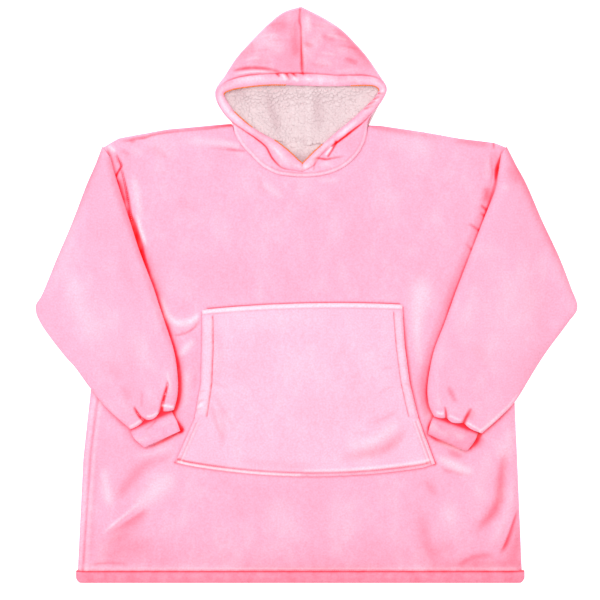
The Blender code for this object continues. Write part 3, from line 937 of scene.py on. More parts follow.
# Levels of the front from the hem to the pocket top: the rows below each, the points of the side
# edges, pocket sides and pocket band lines, then the rise of its middle
LEVELS = (
    (0, (-458, -553), (-266, -553), (-242, -553), (240, -553), (262, -553), (431, -553), 0),
    (70, (-447, -331), (-262, -335), (-238, -341), (232, -346), (257, -338), (422, -331), -20),
    (28, (-438, -246), (-223, -246), (-198, -246), (203, -246), (223, -245), (418, -245), -6),
    (23, (-430, -176), (-211, -176), (-188, -178), (188, -180), (206, -176), (415, -176), 0),
    (24, (-425, -102), (-209, -102), (-185, -104), (178, -106), (196, -102), (412, -102), 2),
    (24, (-419, -32), (-208, -30), (-186, -28), (171, -19), (191, -20), (408, -21), 6),
)
SHOULDER_R = ((-406, 295), (-375, 312), (-278, 329.5), (-176, 339), (-150, 341))
SHOULDER_L = ((124, 338), (147, 337), (235, 324), (308, 311), (375, 303), (400, 294))

# Front neckline from the wearer's right shoulder to the left one
NECKLINE = (
    (-150, 341), (-143, 320), (-131, 299), (-112, 278), (-88, 255), (-60, 240.5), (-35, 236), (-8, 234.3),
    (22, 236), (52, 243), (78, 256), (100, 276), (114, 298), (121, 320), (123.2, 338),
)

# Stations of the hood from the crown seam, round the face, to the throat: points of the brim seam,
# the fold, the end of the under layer and the mouth, then heights of the face, fold and underside,
# and the strength of the red line of painted shade along the brim seam
HOOD_R = (
    ((-9, 440), (-11, 577), (-9, 303), (-9, 415), 30, 13, 0, 0.75),
    ((-43, 440), (-47, 565), (-29, 303), (-43, 416), 30, 13, 0, 0.8),
    ((-77, 439), (-83, 536), (-49, 306), (-77, 416), 29, 14, 0, 0.6),
    ((-113, 436), (-115, 503), (-73, 311), (-112, 413), 28, 15, 0, 0.7),
    ((-141, 431), (-141, 473), (-97, 317), (-136, 410), 26, 17, 0, 0.55),
    ((-161, 423), (-163, 439), (-117, 325), (-153, 406), 24, 19, 0, 0.3),
    ((-179, 407), (-182, 410), (-131, 331), (-164, 399), 22, 20, 0, 0.0),
    ((-177, 385), (-180, 386), (-140, 335), (-156, 382), 22, 20, 0, 0.0),
    ((-162, 359), (-165, 361), (-146, 341), (-142, 363), 22, 20, 3, 0.0),
    ((-146, 342), (-149, 343), (-140, 341), (-126, 348), 22, 20.5, 8.4, 0.5),
    ((-126, 328), (-143, 320), (-131, 326), (-109, 334), 22, 19.5, 11, 0.7),
    ((-101, 311), (-131, 299), (-109, 308), (-84, 319), 22, 19, 11, 1.05),
    ((-81, 294), (-112, 278), (-89, 290), (-62, 307), 22, 19, 11, 0.95),
    ((-68, 271), (-88, 255), (-73, 268), (-42, 292), 21, 18.5, 11, 0.95),
    ((-49, 253), (-60, 240.5), (-53, 251), (-27, 279), 20.5, 18.5, 11, 0.5),
    ((-28, 248), (-35, 236), (-31, 246), (-17, 269), 20, 18.5, 11, 0.05),
    ((-8, 245), (-8, 234.3), (-8, 243), (-8, 262), 20, 18.5, 11, 0.0),
)
HOOD_L = (
    ((-9, 440), (-11, 577), (-9, 303), (-9, 415), 30, 13, 0, 0.75),
    ((25, 438), (31, 556), (11, 303), (25, 414), 30, 13, 0, 0.5),
    ((59, 436), (67, 533), (33, 305), (58, 414), 29, 14, 0, 0.5),
    ((91, 436), (94, 507), (57, 309), (90, 415), 28, 15, 0, 0.65),
    ((118, 436), (121, 476), (81, 315), (115, 416), 26, 17, 0, 0.65),
    ((143, 430), (147, 438), (103, 322), (134, 415), 24, 19, 0, 0.4),
    ((158, 413), (161, 413), (115, 328), (144, 407), 22, 20, 0, 0.0),
    ((150, 389), (153, 390), (122, 333), (134, 391), 22, 20, 0, 0.0),
    ((133, 366), (136, 367), (124, 340), (113, 370), 22, 20, 3, 0.0),
    ((115, 345), (123, 345), (114, 341), (97, 355), 22, 20.5, 8.4, 0.5),
    ((97, 331), (121, 320), (104, 328), (79, 340), 22, 19.5, 11, 1.5),
    ((78, 317), (114, 298), (87, 312), (62, 326), 22, 19, 11, 2.0),
    ((60, 303), (100, 276), (71, 296), (46, 312), 22, 19, 11, 1.6),
    ((44, 291), (78, 256), (55, 277), (30, 298), 21, 18.5, 11, 0.2),
    ((27, 276), (52, 243), (39, 260), (15, 285), 20.5, 18.5, 11, 0.2),
    ((14, 257), (22, 236), (17, 247), (3, 273), 20, 18.5, 11, 0.2),
    ((-8, 245), (-8, 234.3), (-8, 243), (-8, 262), 20, 18.5, 11, 0.0),
)

# Sleeves and cuffs from the shoulder on: the outer edge and the inner edge of each row
SLEEVE_R = (
    ((-407, 296), (-391, 273)), ((-421, 259), (-383, 243)), ((-439, 219), (-371, 204)),
    ((-469, 144), (-352, 146)), ((-499, 75), (-332, 84)), ((-528, 4), (-306, 16)),
    ((-543, -26), (-293, -24)), ((-530, -62), (-281, -60)), ((-489, -117), (-266, -106)),
    ((-461, -147), (-259, -142)), ((-431, -187), (-256, -180)), ((-397, -228), (-258, -206)),
    ((-351, -269), (-264, -230)),
)
SLEEVE_L = (
    ((399, 295), (388, 280)), ((418, 258), (382, 240)), ((440, 219), (376, 208)), ((472, 148), (350, 142)),
    ((506, 76), (327, 82)), ((530, 14), (300, 12)), ((543, -26), (287, -24)), ((523, -58), (274, -60)),
    ((479, -117), (256, -106)), ((450, -160), (246, -148)), ((417, -212), (241, -188)),
    ((388, -243), (244, -220)), ((350, -277), (254, -243)),
)
CUFF_R = (
    ((-348, -254), (-273, -217)), ((-351, -271), (-268, -234)), ((-343, -288), (-259, -252)),
    ((-324, -305), (-252, -272)),
)
CUFF_L = (
    ((339, -261), (259, -228)), ((342, -276), (253, -243)), ((334, -295), (247, -259)),
    ((320, -313), (242, -278)),
)

# Lines of painted shade and folds of the body, with painted highlights. Each line is rows of x, y, half width
# and strength.
SHOULDER_SEAM_R = Crease(
    ((-376, 308, 2.4, 0.3), (-361, 307, 2.4, 0.5), (-341, 311, 2.4, 0.6), (-321, 314, 2.4, 0.7),
    (-301, 320, 2.4, 0.6), (-261, 326, 2.4, 0.5), (-221, 330, 2.6, 0.5), (-190, 333, 3, 0.6),
    (-165, 337, 3.4, 0.8), (-151, 340, 4.5, 1.3)), -1.2, 1.2, soft=(0.1, 0)
)
ARMHOLE_R = Crease(
    ((-371, 254, 2.4, 0.6), (-363, 224, 2.4, 0.7), (-358, 200, 2.4, 0.9), (-354, 176, 3, 0.8),
    (-350, 150, 3.4, 0.8)), -1.4, 1.3, soft=(0.1, 0)
)
ARMHOLE_L = Crease(
    ((369, 286, 2.4, 0.4), (369, 262, 2.4, 0.6), (371, 242, 2.4, 0.7), (367, 216, 2.4, 0.5)), -0.8,
    0.5
)
SHOULDER_CREASES = (
    SHOULDER_SEAM_R,
    Crease(((-356, 305, 4, 0.5), (-347, 305, 4, 0.8), (-338, 308, 3, 0.4)), deep=0.4),
    Crease(((-381, 281, 2.4, 0.5), (-375, 268, 2.4, 0.9), (-370, 257, 2.4, 1.1), (-376, 246, 2.4, 1),
        (-381, 236, 2.4, 1.2)), -1.4, 1.1, soft=(0.1, 0)),
    ARMHOLE_R,
    Crease(((-377, 240, 5, 0.5), (-369, 210, 7, 0.8), (-359, 176, 6, 0.9)), deep=0.7),
    Crease(((-373, 289, 3, 0.5), (-362, 284, 4, 0.9), (-350, 277, 3, 0.5)), -1.6, 0.3),
    Crease(((-399, 299, 4, 0.6), (-389, 291, 4, 1), (-380, 283, 3, 0.6)), 1.0, pale=0.9),
    Crease(((-354, 290, 6, 0.5), (-340, 286, 8, 0.9), (-322, 281, 7, 0.4)), pale=0.22),
    Crease(((-325, 293, 5, 0.5), (-300, 289, 6, 0.8), (-285, 279, 6, 0.9), (-278, 262, 6, 0.5)), -1.2, 0.2),
    Crease(((-348, 245, 6, 0.5), (-341, 215, 8, 0.9), (-336, 180, 7, 0.9), (-326, 145, 6, 0.6)), 1.2,
        pale=0.45),
    Crease(((-340, 168, 3, 0.6), (-331, 130, 3.6, 1), (-318, 92, 3, 0.6)), pale=0.9),
    Crease(((-262, 195, 14, 0.5), (-240, 182, 18, 0.9), (-215, 185, 12, 0.5)), deep=0.1),
    Crease(((-198, 293, 2.4, 0.25), (-165, 291, 2.4, 0.55), (-146, 289, 2.6, 1.1), (-130, 287.5, 2.4, 0.9),
        (-121, 286, 2.4, 0.5)), -2.0, 0.5, soft=(0.1, 0.05)),
    Crease(((-262, 309, 9, 0.4), (-205, 305, 9, 0.7), (-168, 302, 7, 1), (-133, 297, 5.5, 1)), 1.6,
        pale=0.38, soft=(0.3, 0.02)),
    Crease(((-146, 283, 5, 0.5), (-128, 278, 6, 0.7), (-112, 268, 4, 0.4)), pale=0.19),
    Crease(((-92, 226, 6, 0.5), (-68, 208, 9, 1), (-42, 190, 6, 0.5)), 1.4, pale=0.28),
    Crease(((-99, 238, 5, 0.5), (-91, 218, 6, 0.8), (-76, 198, 6, 0.4)), deep=0.16),
    Crease(((15, 230, 5, 0.5), (42, 228, 6, 0.9), (72, 228, 6, 0.5)), pale=0.25),
    Crease(((123, 338, 4, 1), (149, 333, 6.5, 0.9), (180, 327, 6, 0.7), (235, 317, 6, 0.4),
        (280, 310, 5, 0.3)), deep=0.5, soft=(0, 0.2)),
    Crease(((285, 308, 6, 0.5), (325, 304, 7, 0.9), (355, 300, 7, 0.9), (374, 298, 5, 0.5)), deep=0.4),
    Crease(((150, 310, 12, 0.4), (200, 299, 20, 0.9), (270, 286, 18, 0.6)), 1.4, pale=0.2),
    Crease(((374, 303, 2.4, 1), (374, 296, 2.4, 1), (374, 289, 2.4, 0.6)), -1.0, 0.6, soft=(0, 0.3)),
    ARMHOLE_L,
    Crease(((377, 292, 5, 0.4), (377, 262, 6, 0.6), (375, 235, 5, 0.6)), deep=0.35),
    Crease(((362, 280, 5, 0.4), (361, 250, 6, 0.7), (360, 225, 5, 0.4)), pale=0.22),
    Crease(((357, 218, 7, 0.9), (360, 200, 7, 1), (354, 182, 6, 0.6)), deep=0.4),
    Crease(((347, 180, 2.4, 0.5), (354, 174, 2.4, 1), (363, 166, 2.4, 0.9)), -1.4, 0.75, soft=(0.2, 0)),
    Crease(((347, 164, 2.4, 0.6), (352, 160, 2.6, 0.9), (358, 154, 2.4, 0.9)), -1.2, 0.6, soft=(0.2, 0)),
    Crease(((322, 143, 2.4, 0.5), (333, 136, 2.6, 1), (346, 127, 2.4, 0.8)), -1.2, 0.6, soft=(0.2, 0)),
    Crease(((316, 103, 2.4, 0.4), (325, 95, 2.4, 0.8), (335, 84, 2.4, 0.7)), -1.0, 0.5, soft=(0.2, 0)),
)
SWOOP_CREASES = (
    Crease(((-292, 4, 4, 0.3), (-284, -22, 5, 0.8), (-277, -42, 6.5, 1), (-262, -55, 8, 1),
        (-242, -57, 8, 1), (-222, -48, 6.5, 1), (-209, -37, 4.5, 0.8)), 2.4, pale=0.6, soft=(0.2, 0.08)),
    Crease(((-208, -43, 2.4, 0.8), (-215, -55, 2.4, 1), (-226, -68, 2.4, 1), (-241, -77, 2.4, 1),
        (-256, -81, 2.4, 0.8), (-266, -80, 2.4, 0.6)), -2.2, 0.5, soft=(0.05, 0.1)),
    Crease(((-256, -126, 5, 0.5), (-241, -108, 7, 1), (-221, -88, 5, 0.6)), 1.4, pale=0.51),
    Crease(((-216, -100, 6, 0.5), (-219, -150, 7, 0.8), (-229, -200, 8, 0.6)), -0.8, 0.2),
    Crease(((-238, -140, 8, 0.6), (-240, -185, 9, 0.9), (-243, -235, 7, 0.6)), 0.8, pale=0.24),
    Crease(((235, 60, 18, 0.4), (228, 5, 22, 1), (222, -50, 15, 0.9), (222, -105, 9, 0.7),
        (230, -165, 6, 0.5)), 1.0, pale=0.45),
    Crease(((-237, 45, 16, 0.4), (-240, 5, 16, 0.8), (-235, -20, 10, 0.5)), pale=0.15),
)
SKIRT_CREASES = (
    Crease(((-278, -321, 8, 0.4), (-318, -340, 11, 0.9), (-342, -362, 12, 1), (-362, -386, 12, 1),
        (-376, -406, 10, 0.8), (-384, -426, 8, 0.4)), -3.0, 0.3),
    Crease(((-254, -350, 14, 0.7), (-285, -378, 20, 1), (-318, -406, 18, 0.9), (-352, -438, 9, 0.5)), 2.4,
        pale=0.42),
    Crease(((-326, -408, 3.5, 0.4), (-350, -430, 3.5, 0.8), (-372, -448, 3.2, 1), (-390, -463, 3, 1),
        (-410, -480, 2.6, 0.6)), 2.6, pale=0.42),
    Crease(((-306, -423, 3, 0.4), (-330, -438, 4.5, 0.9), (-352, -453, 5, 1), (-374, -467, 5, 0.8),
        (-404, -486, 4, 0.5)), -3.4, 0.42, left=3.0, right=0.8),
    Crease(((-402, -335, 7, 0.5), (-402, -372, 10, 1), (-397, -404, 10, 1), (-392, -432, 7, 0.5)), 1.4,
        pale=0.36),
    Crease(((-290, -500, 17, 0.5), (-340, -505, 23, 1), (-385, -512, 24, 1), (-428, -520, 14, 0.6)), -1.2,
        0.2),
    Crease(((-407, -498, 6, 0.4), (-378, -488, 8, 0.9), (-345, -478, 8, 0.5)), deep=0.2),
    Crease(((-442, -544, 2.4, 0.6), (-415, -538, 3, 1), (-385, -537, 3, 0.8), (-345, -541, 3, 0.4)), -1.0,
        0.35),
    Crease(((-225, -432, 12, 0.4), (-262, -458, 14, 0.8), (-300, -488, 10, 0.4)), pale=0.15),
    Crease(((-418, -300, 6, 0.4), (-425, -400, 6, 0.9), (-430, -500, 6, 0.8), (-436, -545, 5, 0.5)),
        deep=0.14),
    Crease(((-350, -314, 5, 0.3), (-322, -320, 7, 0.9), (-290, -312, 6, 0.8), (-262, -298, 5, 0.4)), 0.8,
        pale=0.17),
    Crease(((-320, -306, 5, 0.4), (-340, -296, 5, 0.8), (-358, -272, 5, 0.7), (-385, -240, 5, 0.5)),
        deep=0.16),
    Crease(((-300, -335, 6, 0.4), (-278, -326, 6, 0.9), (-264, -318, 5, 0.6)), -0.8, 0.2),
    Crease(((252, -321, 5, 0.5), (280, -334, 9, 1), (310, -348, 10, 1), (342, -360, 8, 0.5)), 1.8,
        pale=0.55),
    Crease(((256, -290, 4, 0.5), (288, -303, 5, 1), (326, -316, 6, 0.6)), 1.2, pale=0.4),
    Crease(((414, -258, 10, 0.5), (400, -300, 14, 1), (382, -334, 14, 0.7)), 1.2, pale=0.26),
    Crease(((281, -311, 5, 0.4), (297, -319, 8, 0.9), (314, -327, 5, 0.5)), -1.4, 0.4),
    Crease(((260, -344, 3, 0.4), (285, -353, 4.5, 0.9), (312, -359, 4.5, 0.8), (338, -362, 3, 0.3)), -1.2,
        0.32),
    Crease(((405, -290, 5, 0.3), (394, -338, 9, 0.7), (388, -378, 10, 0.9), (386, -408, 10, 1.05),
        (371, -438, 11, 0.95), (349, -462, 9, 0.8), (322, -483, 7, 0.4)), -3.4, 0.6),
    Crease(((372, -300, 12, 0.5), (352, -360, 18, 0.9), (332, -430, 15, 0.5)), 1.4, pale=0.17),
    Crease(((415, -345, 6, 0.5), (411, -395, 8, 0.9), (402, -432, 9, 1), (379, -484, 10, 0.9),
        (350, -512, 8, 0.4)), 2.2, pale=0.2),
    Crease(((425, -422, 2.4, 0.5), (416, -448, 2.8, 0.9), (406, -478, 3.2, 1), (395, -504, 3.2, 1),
        (382, -524, 2.8, 0.5)), -3.4, 0.7, left=1.8, right=0.8),
    Crease(((433, -440, 8, 0.5), (425, -480, 13, 0.9), (414, -518, 14, 0.9), (402, -548, 12, 0.6)),
        deep=0.32),
    Crease(((297, -547, 3, 0.5), (322, -530, 5, 0.9), (345, -523, 6, 1), (382, -521, 5, 0.7)), -1.8, 0.32),
    Crease(((215, -545, 10, 0.5), (290, -543, 11, 0.8), (350, -541, 13, 1), (432, -541, 10, 0.9)), deep=0.3,
        soft=(0.2, 0)),
    Crease(((230, -425, 10, 0.4), (235, -470, 13, 0.9), (245, -515, 13, 1), (268, -540, 12, 0.7)), -0.8,
        0.24),
    Crease(((300, -498, 12, 0.5), (275, -505, 15, 0.9), (250, -520, 12, 0.6)), deep=0.14),
    Crease(((234, -366, 6, 0.4), (248, -385, 9, 0.9), (264, -406, 6, 0.4)), -0.8, 0.24),
    Crease(((300, -470, 10, 0.4), (285, -440, 14, 0.9), (280, -400, 10, 0.5)), 0.8, pale=0.15),
    Crease(((-200, -545, 9, 0.6), (-60, -547, 8, 0.9), (80, -546, 8, 0.9), (215, -545, 9, 0.7)), deep=0.2),
    Crease(((-70, -400, 20, 0.5), (-55, -440, 30, 0.9), (-66, -490, 20, 0.5)), 0.8, pale=0.18),
    Crease(((60, -395, 20, 0.5), (70, -440, 28, 0.8), (60, -500, 20, 0.4)), 0.8, pale=0.18),
    Crease(((-455, -548.8, 2.4, 0.6), (-200, -548.4, 2.4, 0.8), (100, -548.4, 2.4, 0.6),
        (430, -548.8, 2.4, 0.8)), 0.8, pale=0.52, soft=(0.02, 0.02)),
)

# The red line and the soft shade, both painted shade, on the body beside each sleeve and cuff
SLEEVE_SHADE_R = (
    Crease(((-397, 284, 2.5, 0.6), (-391, 272, 2.5, 0.7), (-383, 243, 2.5, 0.6), (-379, 228, 3, 1.0),
        (-371, 204, 3.5, 0.5), (-357, 163, 4, 0.9), (-350, 142, 8.5, 1.8), (-338, 106, 8, 2),
        (-327, 72, 5, 1.8), (-317, 43, 5, 1.1), (-306, 16, 5, 0.85), (-293, -24, 5, 0.85),
        (-280, -62, 5, 1), (-266, -106, 4.5, 1.1), (-258, -142, 5, 1.2), (-255, -180, 5.5, 1.25),
        (-257, -206, 5.5, 1.2), (-262, -228, 4.5, 1.3)), deep=1.0, soft=(0, 0)),
    Crease(((-360, 160, 12, 0.4), (-330, 90, 13, 0.8), (-306, 16, 16, 1), (-293, -24, 12, 0.8),
        (-266, -106, 10, 0.6), (-256, -150, 11, 1), (-255, -200, 11, 1.1), (-264, -232, 9, 0.8)), deep=0.36,
        soft=(0.1, 0)),
    Crease(((-268, -233, 5.5, 1.6), (-264, -250, 5.5, 1.5), (-254, -264, 5.5, 1.5), (-250, -272, 5, 1.2)),
        deep=1.0, soft=(0, 0)),
    Crease(((-250, -271, 4.5, 1.2), (-262, -278, 4.5, 1.2), (-280, -288.5, 4, 1.2), (-300, -299, 3.5, 0.9),
        (-315, -305, 3, 0.35), (-326, -305.5, 3, 0.3), (-343, -290, 3, 0.3), (-352, -272, 3, 0.35)),
        deep=1.0, soft=(0, 0)),
    Crease(((-461, -147, 3, 0.3), (-431, -187, 3.5, 0.4), (-400, -224, 4, 0.5), (-377, -250, 4, 0.5),
        (-352, -269, 4, 0.55)), deep=0.8, soft=(0, 0)),
)
SLEEVE_SHADE_L = (
    Crease(((391, 284, 2, 0.4), (388, 276, 2.6, 0.9), (385, 264, 3.6, 1.6), (382, 250, 4.4, 2),
        (379, 238, 3.4, 1.5), (377, 222, 3, 0.7), (370, 197, 3, 0.65), (360, 168, 3, 0.75),
        (350, 142, 2.8, 0.6), (335, 104, 2.8, 0.5), (318, 60, 2.8, 0.5), (300, 12, 2.8, 0.55),
        (287, -24, 2.8, 0.55), (272, -66, 2.8, 0.6), (256, -106, 2.8, 0.55), (246, -148, 3, 0.6),
        (241, -188, 3.4, 0.65), (243, -220, 3.6, 0.7), (252, -241, 3.6, 0.8)), deep=1.0, soft=(0, 0)),
    Crease(((378, 240, 9, 0.3), (366, 200, 12, 0.9), (350, 142, 12, 0.8), (318, 60, 12, 0.8),
        (294, -5, 16, 1.1), (272, -66, 12, 0.8), (252, -125, 13, 1.1), (240, -165, 15, 1.4),
        (237, -200, 15, 1.5), (240, -235, 11, 1.2)), deep=0.3, soft=(0.1, 0)),
    Crease(((253, -243, 4, 0.6), (247, -259, 4.5, 1.1), (241, -278, 4, 1.1)), deep=1.0, soft=(0, 0)),
    Crease(((240, -278, 3.5, 1), (262, -291, 3.5, 1), (285, -300.5, 3, 0.9), (308, -309, 3, 0.5),
        (320, -314, 2.5, 0.35)), deep=1.0, soft=(0, 0)),
    Crease(((326, -305, 6, 1.4), (334, -291, 8, 1.7), (343, -277, 6, 1.6)), deep=1.0, soft=(0, 0)),
    Crease(((332, -310, 8, 0.4), (344, -292, 10, 0.9), (352, -280, 8, 0.7)), deep=0.5),
    Crease(((346, -279, 4.5, 1.1), (366, -263, 4.5, 1), (388, -243, 4.5, 0.95), (405, -226, 4, 0.8),
        (418, -212, 3.5, 0.7)), deep=1.0, soft=(0, 0)),
)

# Folds and gathers of the sleeves, with their painted shade and painted highlights
SLEEVE_CREASES_R = (
    Crease(((-276, -168, 2, 0.4), (-277, -181, 2.4, 1), (-281, -196, 2.8, 1.3), (-286, -215, 3, 1.5),
        (-289, -233, 3.6, 1.7)), -3.6, 1.0, soft=(0.15, 0)),
    Crease(((-344, -221, 1.8, 0.5), (-337, -235, 2.6, 1.1), (-330, -245, 2.8, 1.3), (-322, -252, 3.6, 1.7)),
        -3.4, 1.0, soft=(0.15, 0)),
    Crease(((-276, -148, 3, 0.5), (-275, -163, 3.4, 1), (-271, -182, 4, 0.7), (-273, -205, 6, 0.4)), 1.4,
        pale=0.41),
    Crease(((-351, -263, 2.4, 0.9), (-339, -257, 2.6, 1), (-328, -249, 2.4, 0.8)), 0.8, pale=0.72,
        soft=(0, 0.1)),
    Crease(((-319, -243, 2.6, 0.8), (-306, -241, 2.8, 1), (-294, -234, 2.4, 0.8)), 0.8, pale=0.72,
        soft=(0.1, 0.1)),
    Crease(((-285, -221, 3, 1), (-276, -222, 3.4, 1), (-267, -224, 3, 1)), 0.8, pale=0.8, soft=(0, 0)),
    Crease(((-327, -186, 2.4, 0.5), (-327, -208, 2.6, 1), (-327, -230, 2.2, 0.6)), -1.4, 0.22),
    Crease(((-307, -180, 9, 0.5), (-305, -208, 11, 1), (-305, -232, 8, 0.7)), 2.4, pale=0.09),
    Crease(((-372, -196, 8, 0.5), (-362, -222, 10, 1), (-350, -245, 8, 0.6)), 2.0, pale=0.11),
    Crease(((-365, -178, 7, 0.5), (-358, -198, 9, 1), (-349, -214, 6, 0.5)), -1.0, 0.16),
    Crease(((-405, 300, 5, 0.5), (-419, 259, 8, 0.9), (-437, 219, 9, 1), (-467, 144, 8, 0.8),
        (-497, 75, 7, 0.6), (-520, 20, 6, 0.4)), deep=0.22, soft=(0, 0.2)),
    Crease(((-395, 268, 4, 0.6), (-388, 240, 5, 0.9), (-378, 206, 6, 1), (-362, 160, 6, 1),
        (-345, 110, 5, 0.7), (-318, 30, 4, 0.7), (-298, -30, 4, 0.7), (-270, -110, 3, 0.7)), deep=0.25,
        soft=(0, 0.1)),
    Crease(((-458, 60, 14, 0.4), (-462, 10, 20, 0.9), (-440, -50, 22, 0.9), (-400, -100, 18, 0.6)), 1.0,
        pale=0.19),
    Crease(((-350, -60, 14, 0.4), (-328, -110, 18, 1), (-315, -160, 12, 0.5)), 0.8, pale=0.19),
    Crease(((-400, -120, 12, 0.4), (-385, -150, 14, 0.8), (-365, -175, 10, 0.4)), -0.8, 0.12),
    Crease(((-372, 110, 10, 0.4), (-360, 50, 12, 0.8), (-335, -10, 10, 0.4)), -0.8, 0.1),
    Crease(((-470, 40, 45, 0.8), (-420, -70, 50, 1), (-350, -160, 45, 1)), pale=0.08),
)
SLEEVE_CREASES_L = (
    Crease(((274, -221, 1.8, 0.5), (277, -232, 2.2, 1), (278, -246, 2.6, 1.2)), -2.6, 0.9, soft=(0.2, 0)),
    Crease(((329, -224, 2.6, 0.5), (323, -235, 3.6, 1), (317, -246, 3.6, 1.2), (312, -258, 3.2, 1.3)), -3.4,
        0.95, soft=(0.15, 0)),
    Crease(((334, -226, 4, 0.4), (330, -238, 6, 0.9), (322, -252, 5, 0.6)), deep=0.25),
    Crease(((279, -178, 4, 0.4), (289, -198, 5.5, 1), (300, -219, 4, 0.5)), -2.0, 0.4),
    Crease(((258, -234, 2.6, 0.8), (266, -237, 2.8, 1), (274, -236, 2.4, 0.8)), 0.8, pale=0.72,
        soft=(0.05, 0.1)),
    Crease(((283, -240, 2.4, 0.8), (296, -246, 2.6, 1), (308, -251, 2.4, 0.8)), 0.8, pale=0.52,
        soft=(0.1, 0.1)),
    Crease(((316, -254, 2.4, 0.8), (330, -261, 2.6, 1), (345, -270, 2.6, 1)), 0.8, pale=0.64,
        soft=(0.1, 0)),
    Crease(((346, -272, 3, 1), (366, -256, 3.2, 1), (386, -237, 3, 0.9), (404, -219, 2.6, 0.7),
        (425, -193, 2.4, 0.3)), 0.6, pale=0.6, soft=(0, 0.1)),
    Crease(((262, -190, 5, 0.5), (262, -210, 6, 1), (264, -228, 5, 0.7)), 1.6, pale=0.18),
    Crease(((298, -222, 6, 0.5), (297, -233, 7, 1), (296, -243, 5, 0.7)), 1.4, pale=0.09),
    Crease(((400, 292, 6, 0.9), (416, 258, 10, 1), (437, 219, 11, 1), (470, 148, 11, 0.95),
        (503, 76, 10, 0.8), (526, 18, 8, 0.5), (540, -20, 6, 0.3)), deep=0.36, soft=(0, 0.1)),
    Crease(((398, 262, 9, 0.5), (410, 240, 11, 1), (420, 215, 9, 0.5)), deep=0.24),
    Crease(((386, 218, 5, 0.5), (396, 213, 6, 1), (406, 206, 5, 0.5)), 1.4, pale=0.23),
    Crease(((395, 60, 14, 0.4), (400, 10, 20, 0.9), (385, -50, 18, 0.6)), 1.0, pale=0.18),
    Crease(((340, 40, 10, 0.4), (328, -20, 14, 0.9), (310, -80, 12, 0.6)), 0.8, pale=0.18),
    Crease(((452, 20, 12, 0.4), (445, -20, 16, 0.9), (425, -70, 12, 0.4)), pale=0.09),
    Crease(((325, -90, 9, 0.4), (348, -118, 11, 0.8), (370, -150, 9, 0.4)), -0.8, 0.14),
    Crease(((355, -140, 9, 0.4), (345, -175, 12, 0.8), (330, -205, 9, 0.4)), 0.8, pale=0.11),
    Crease(((280, -60, 8, 0.4), (268, -110, 9, 0.8), (262, -160, 8, 0.6)), 0.6, pale=0.11),
    Crease(((450, 40, 40, 0.9), (410, -60, 45, 1), (340, -140, 45, 1)), pale=0.12, soft=(0.15, 0.1)),
)

# Folds of the hood, with their painted shade and painted highlights
CROWN_SEAM = Crease(
    ((-13, 571, 2.2, 0.9), (-14, 545, 2.2, 0.9), (-11, 533, 2.2, 0.7), (-10, 500, 2.2, 0.9),
    (-9, 470, 3, 1.3), (-9, 452, 3, 1.1), (-8, 441, 2.2, 0.8)), -2.2, 0.7, soft=(0, 0)
)
CROWN_CREASES_R = (
    Crease(((-150, 444, 2.6, 0.5), (-130, 449, 3.2, 0.9), (-108, 451, 3.2, 1), (-80, 449, 3.2, 1),
        (-62, 445, 3, 0.8), (-48, 440, 2.4, 0.6)), -3.0, 0.62, soft=(0.12, 0.1)),
    Crease(((-150, 437, 2.4, 0.5), (-110, 443, 2.8, 1), (-70, 443, 2.4, 0.5)), 1.4, pale=0.55),
    CROWN_SEAM,
    Crease(((-24, 558, 9, 0.5), (-24, 520, 10, 0.8), (-22, 490, 10, 1), (-20, 462, 9, 0.8)), -0.8, 0.28),
    Crease(((-75, 540, 10, 0.5), (-55, 535, 14, 0.9), (-35, 545, 10, 0.7)), deep=0.22),
    Crease(((-82, 520, 12, 0.5), (-64, 498, 18, 1), (-48, 474, 12, 0.6)), 1.4, pale=0.23),
    Crease(((-140, 470, 9, 0.5), (-118, 488, 10, 0.9), (-98, 505, 9, 0.6)), deep=0.2),
    Crease(((-110, 470, 8, 0.4), (-90, 466, 9, 0.9), (-70, 462, 8, 0.4)), deep=0.14),
    Crease(((-90, 533, 2.4, 0.5), (-68, 539, 3, 1), (-46, 541, 2.4, 0.5)), -0.6, 0.14),
    Crease(((-98, 514, 2.6, 0.5), (-76, 518, 3.4, 1), (-52, 519, 2.6, 0.5)), 0.6, pale=0.2),
    Crease(((-80, 503, 2.4, 0.5), (-60, 507, 2.8, 1), (-36, 505, 2.4, 0.5)), -0.5, 0.12),
    Crease(((-120, 480, 2.6, 0.5), (-94, 487, 3.2, 1), (-66, 488, 2.6, 0.5)), -0.6, 0.15),
    Crease(((-134, 464, 2.6, 0.5), (-108, 470, 3, 1), (-82, 469, 2.6, 0.5)), 0.6, pale=0.2),
)
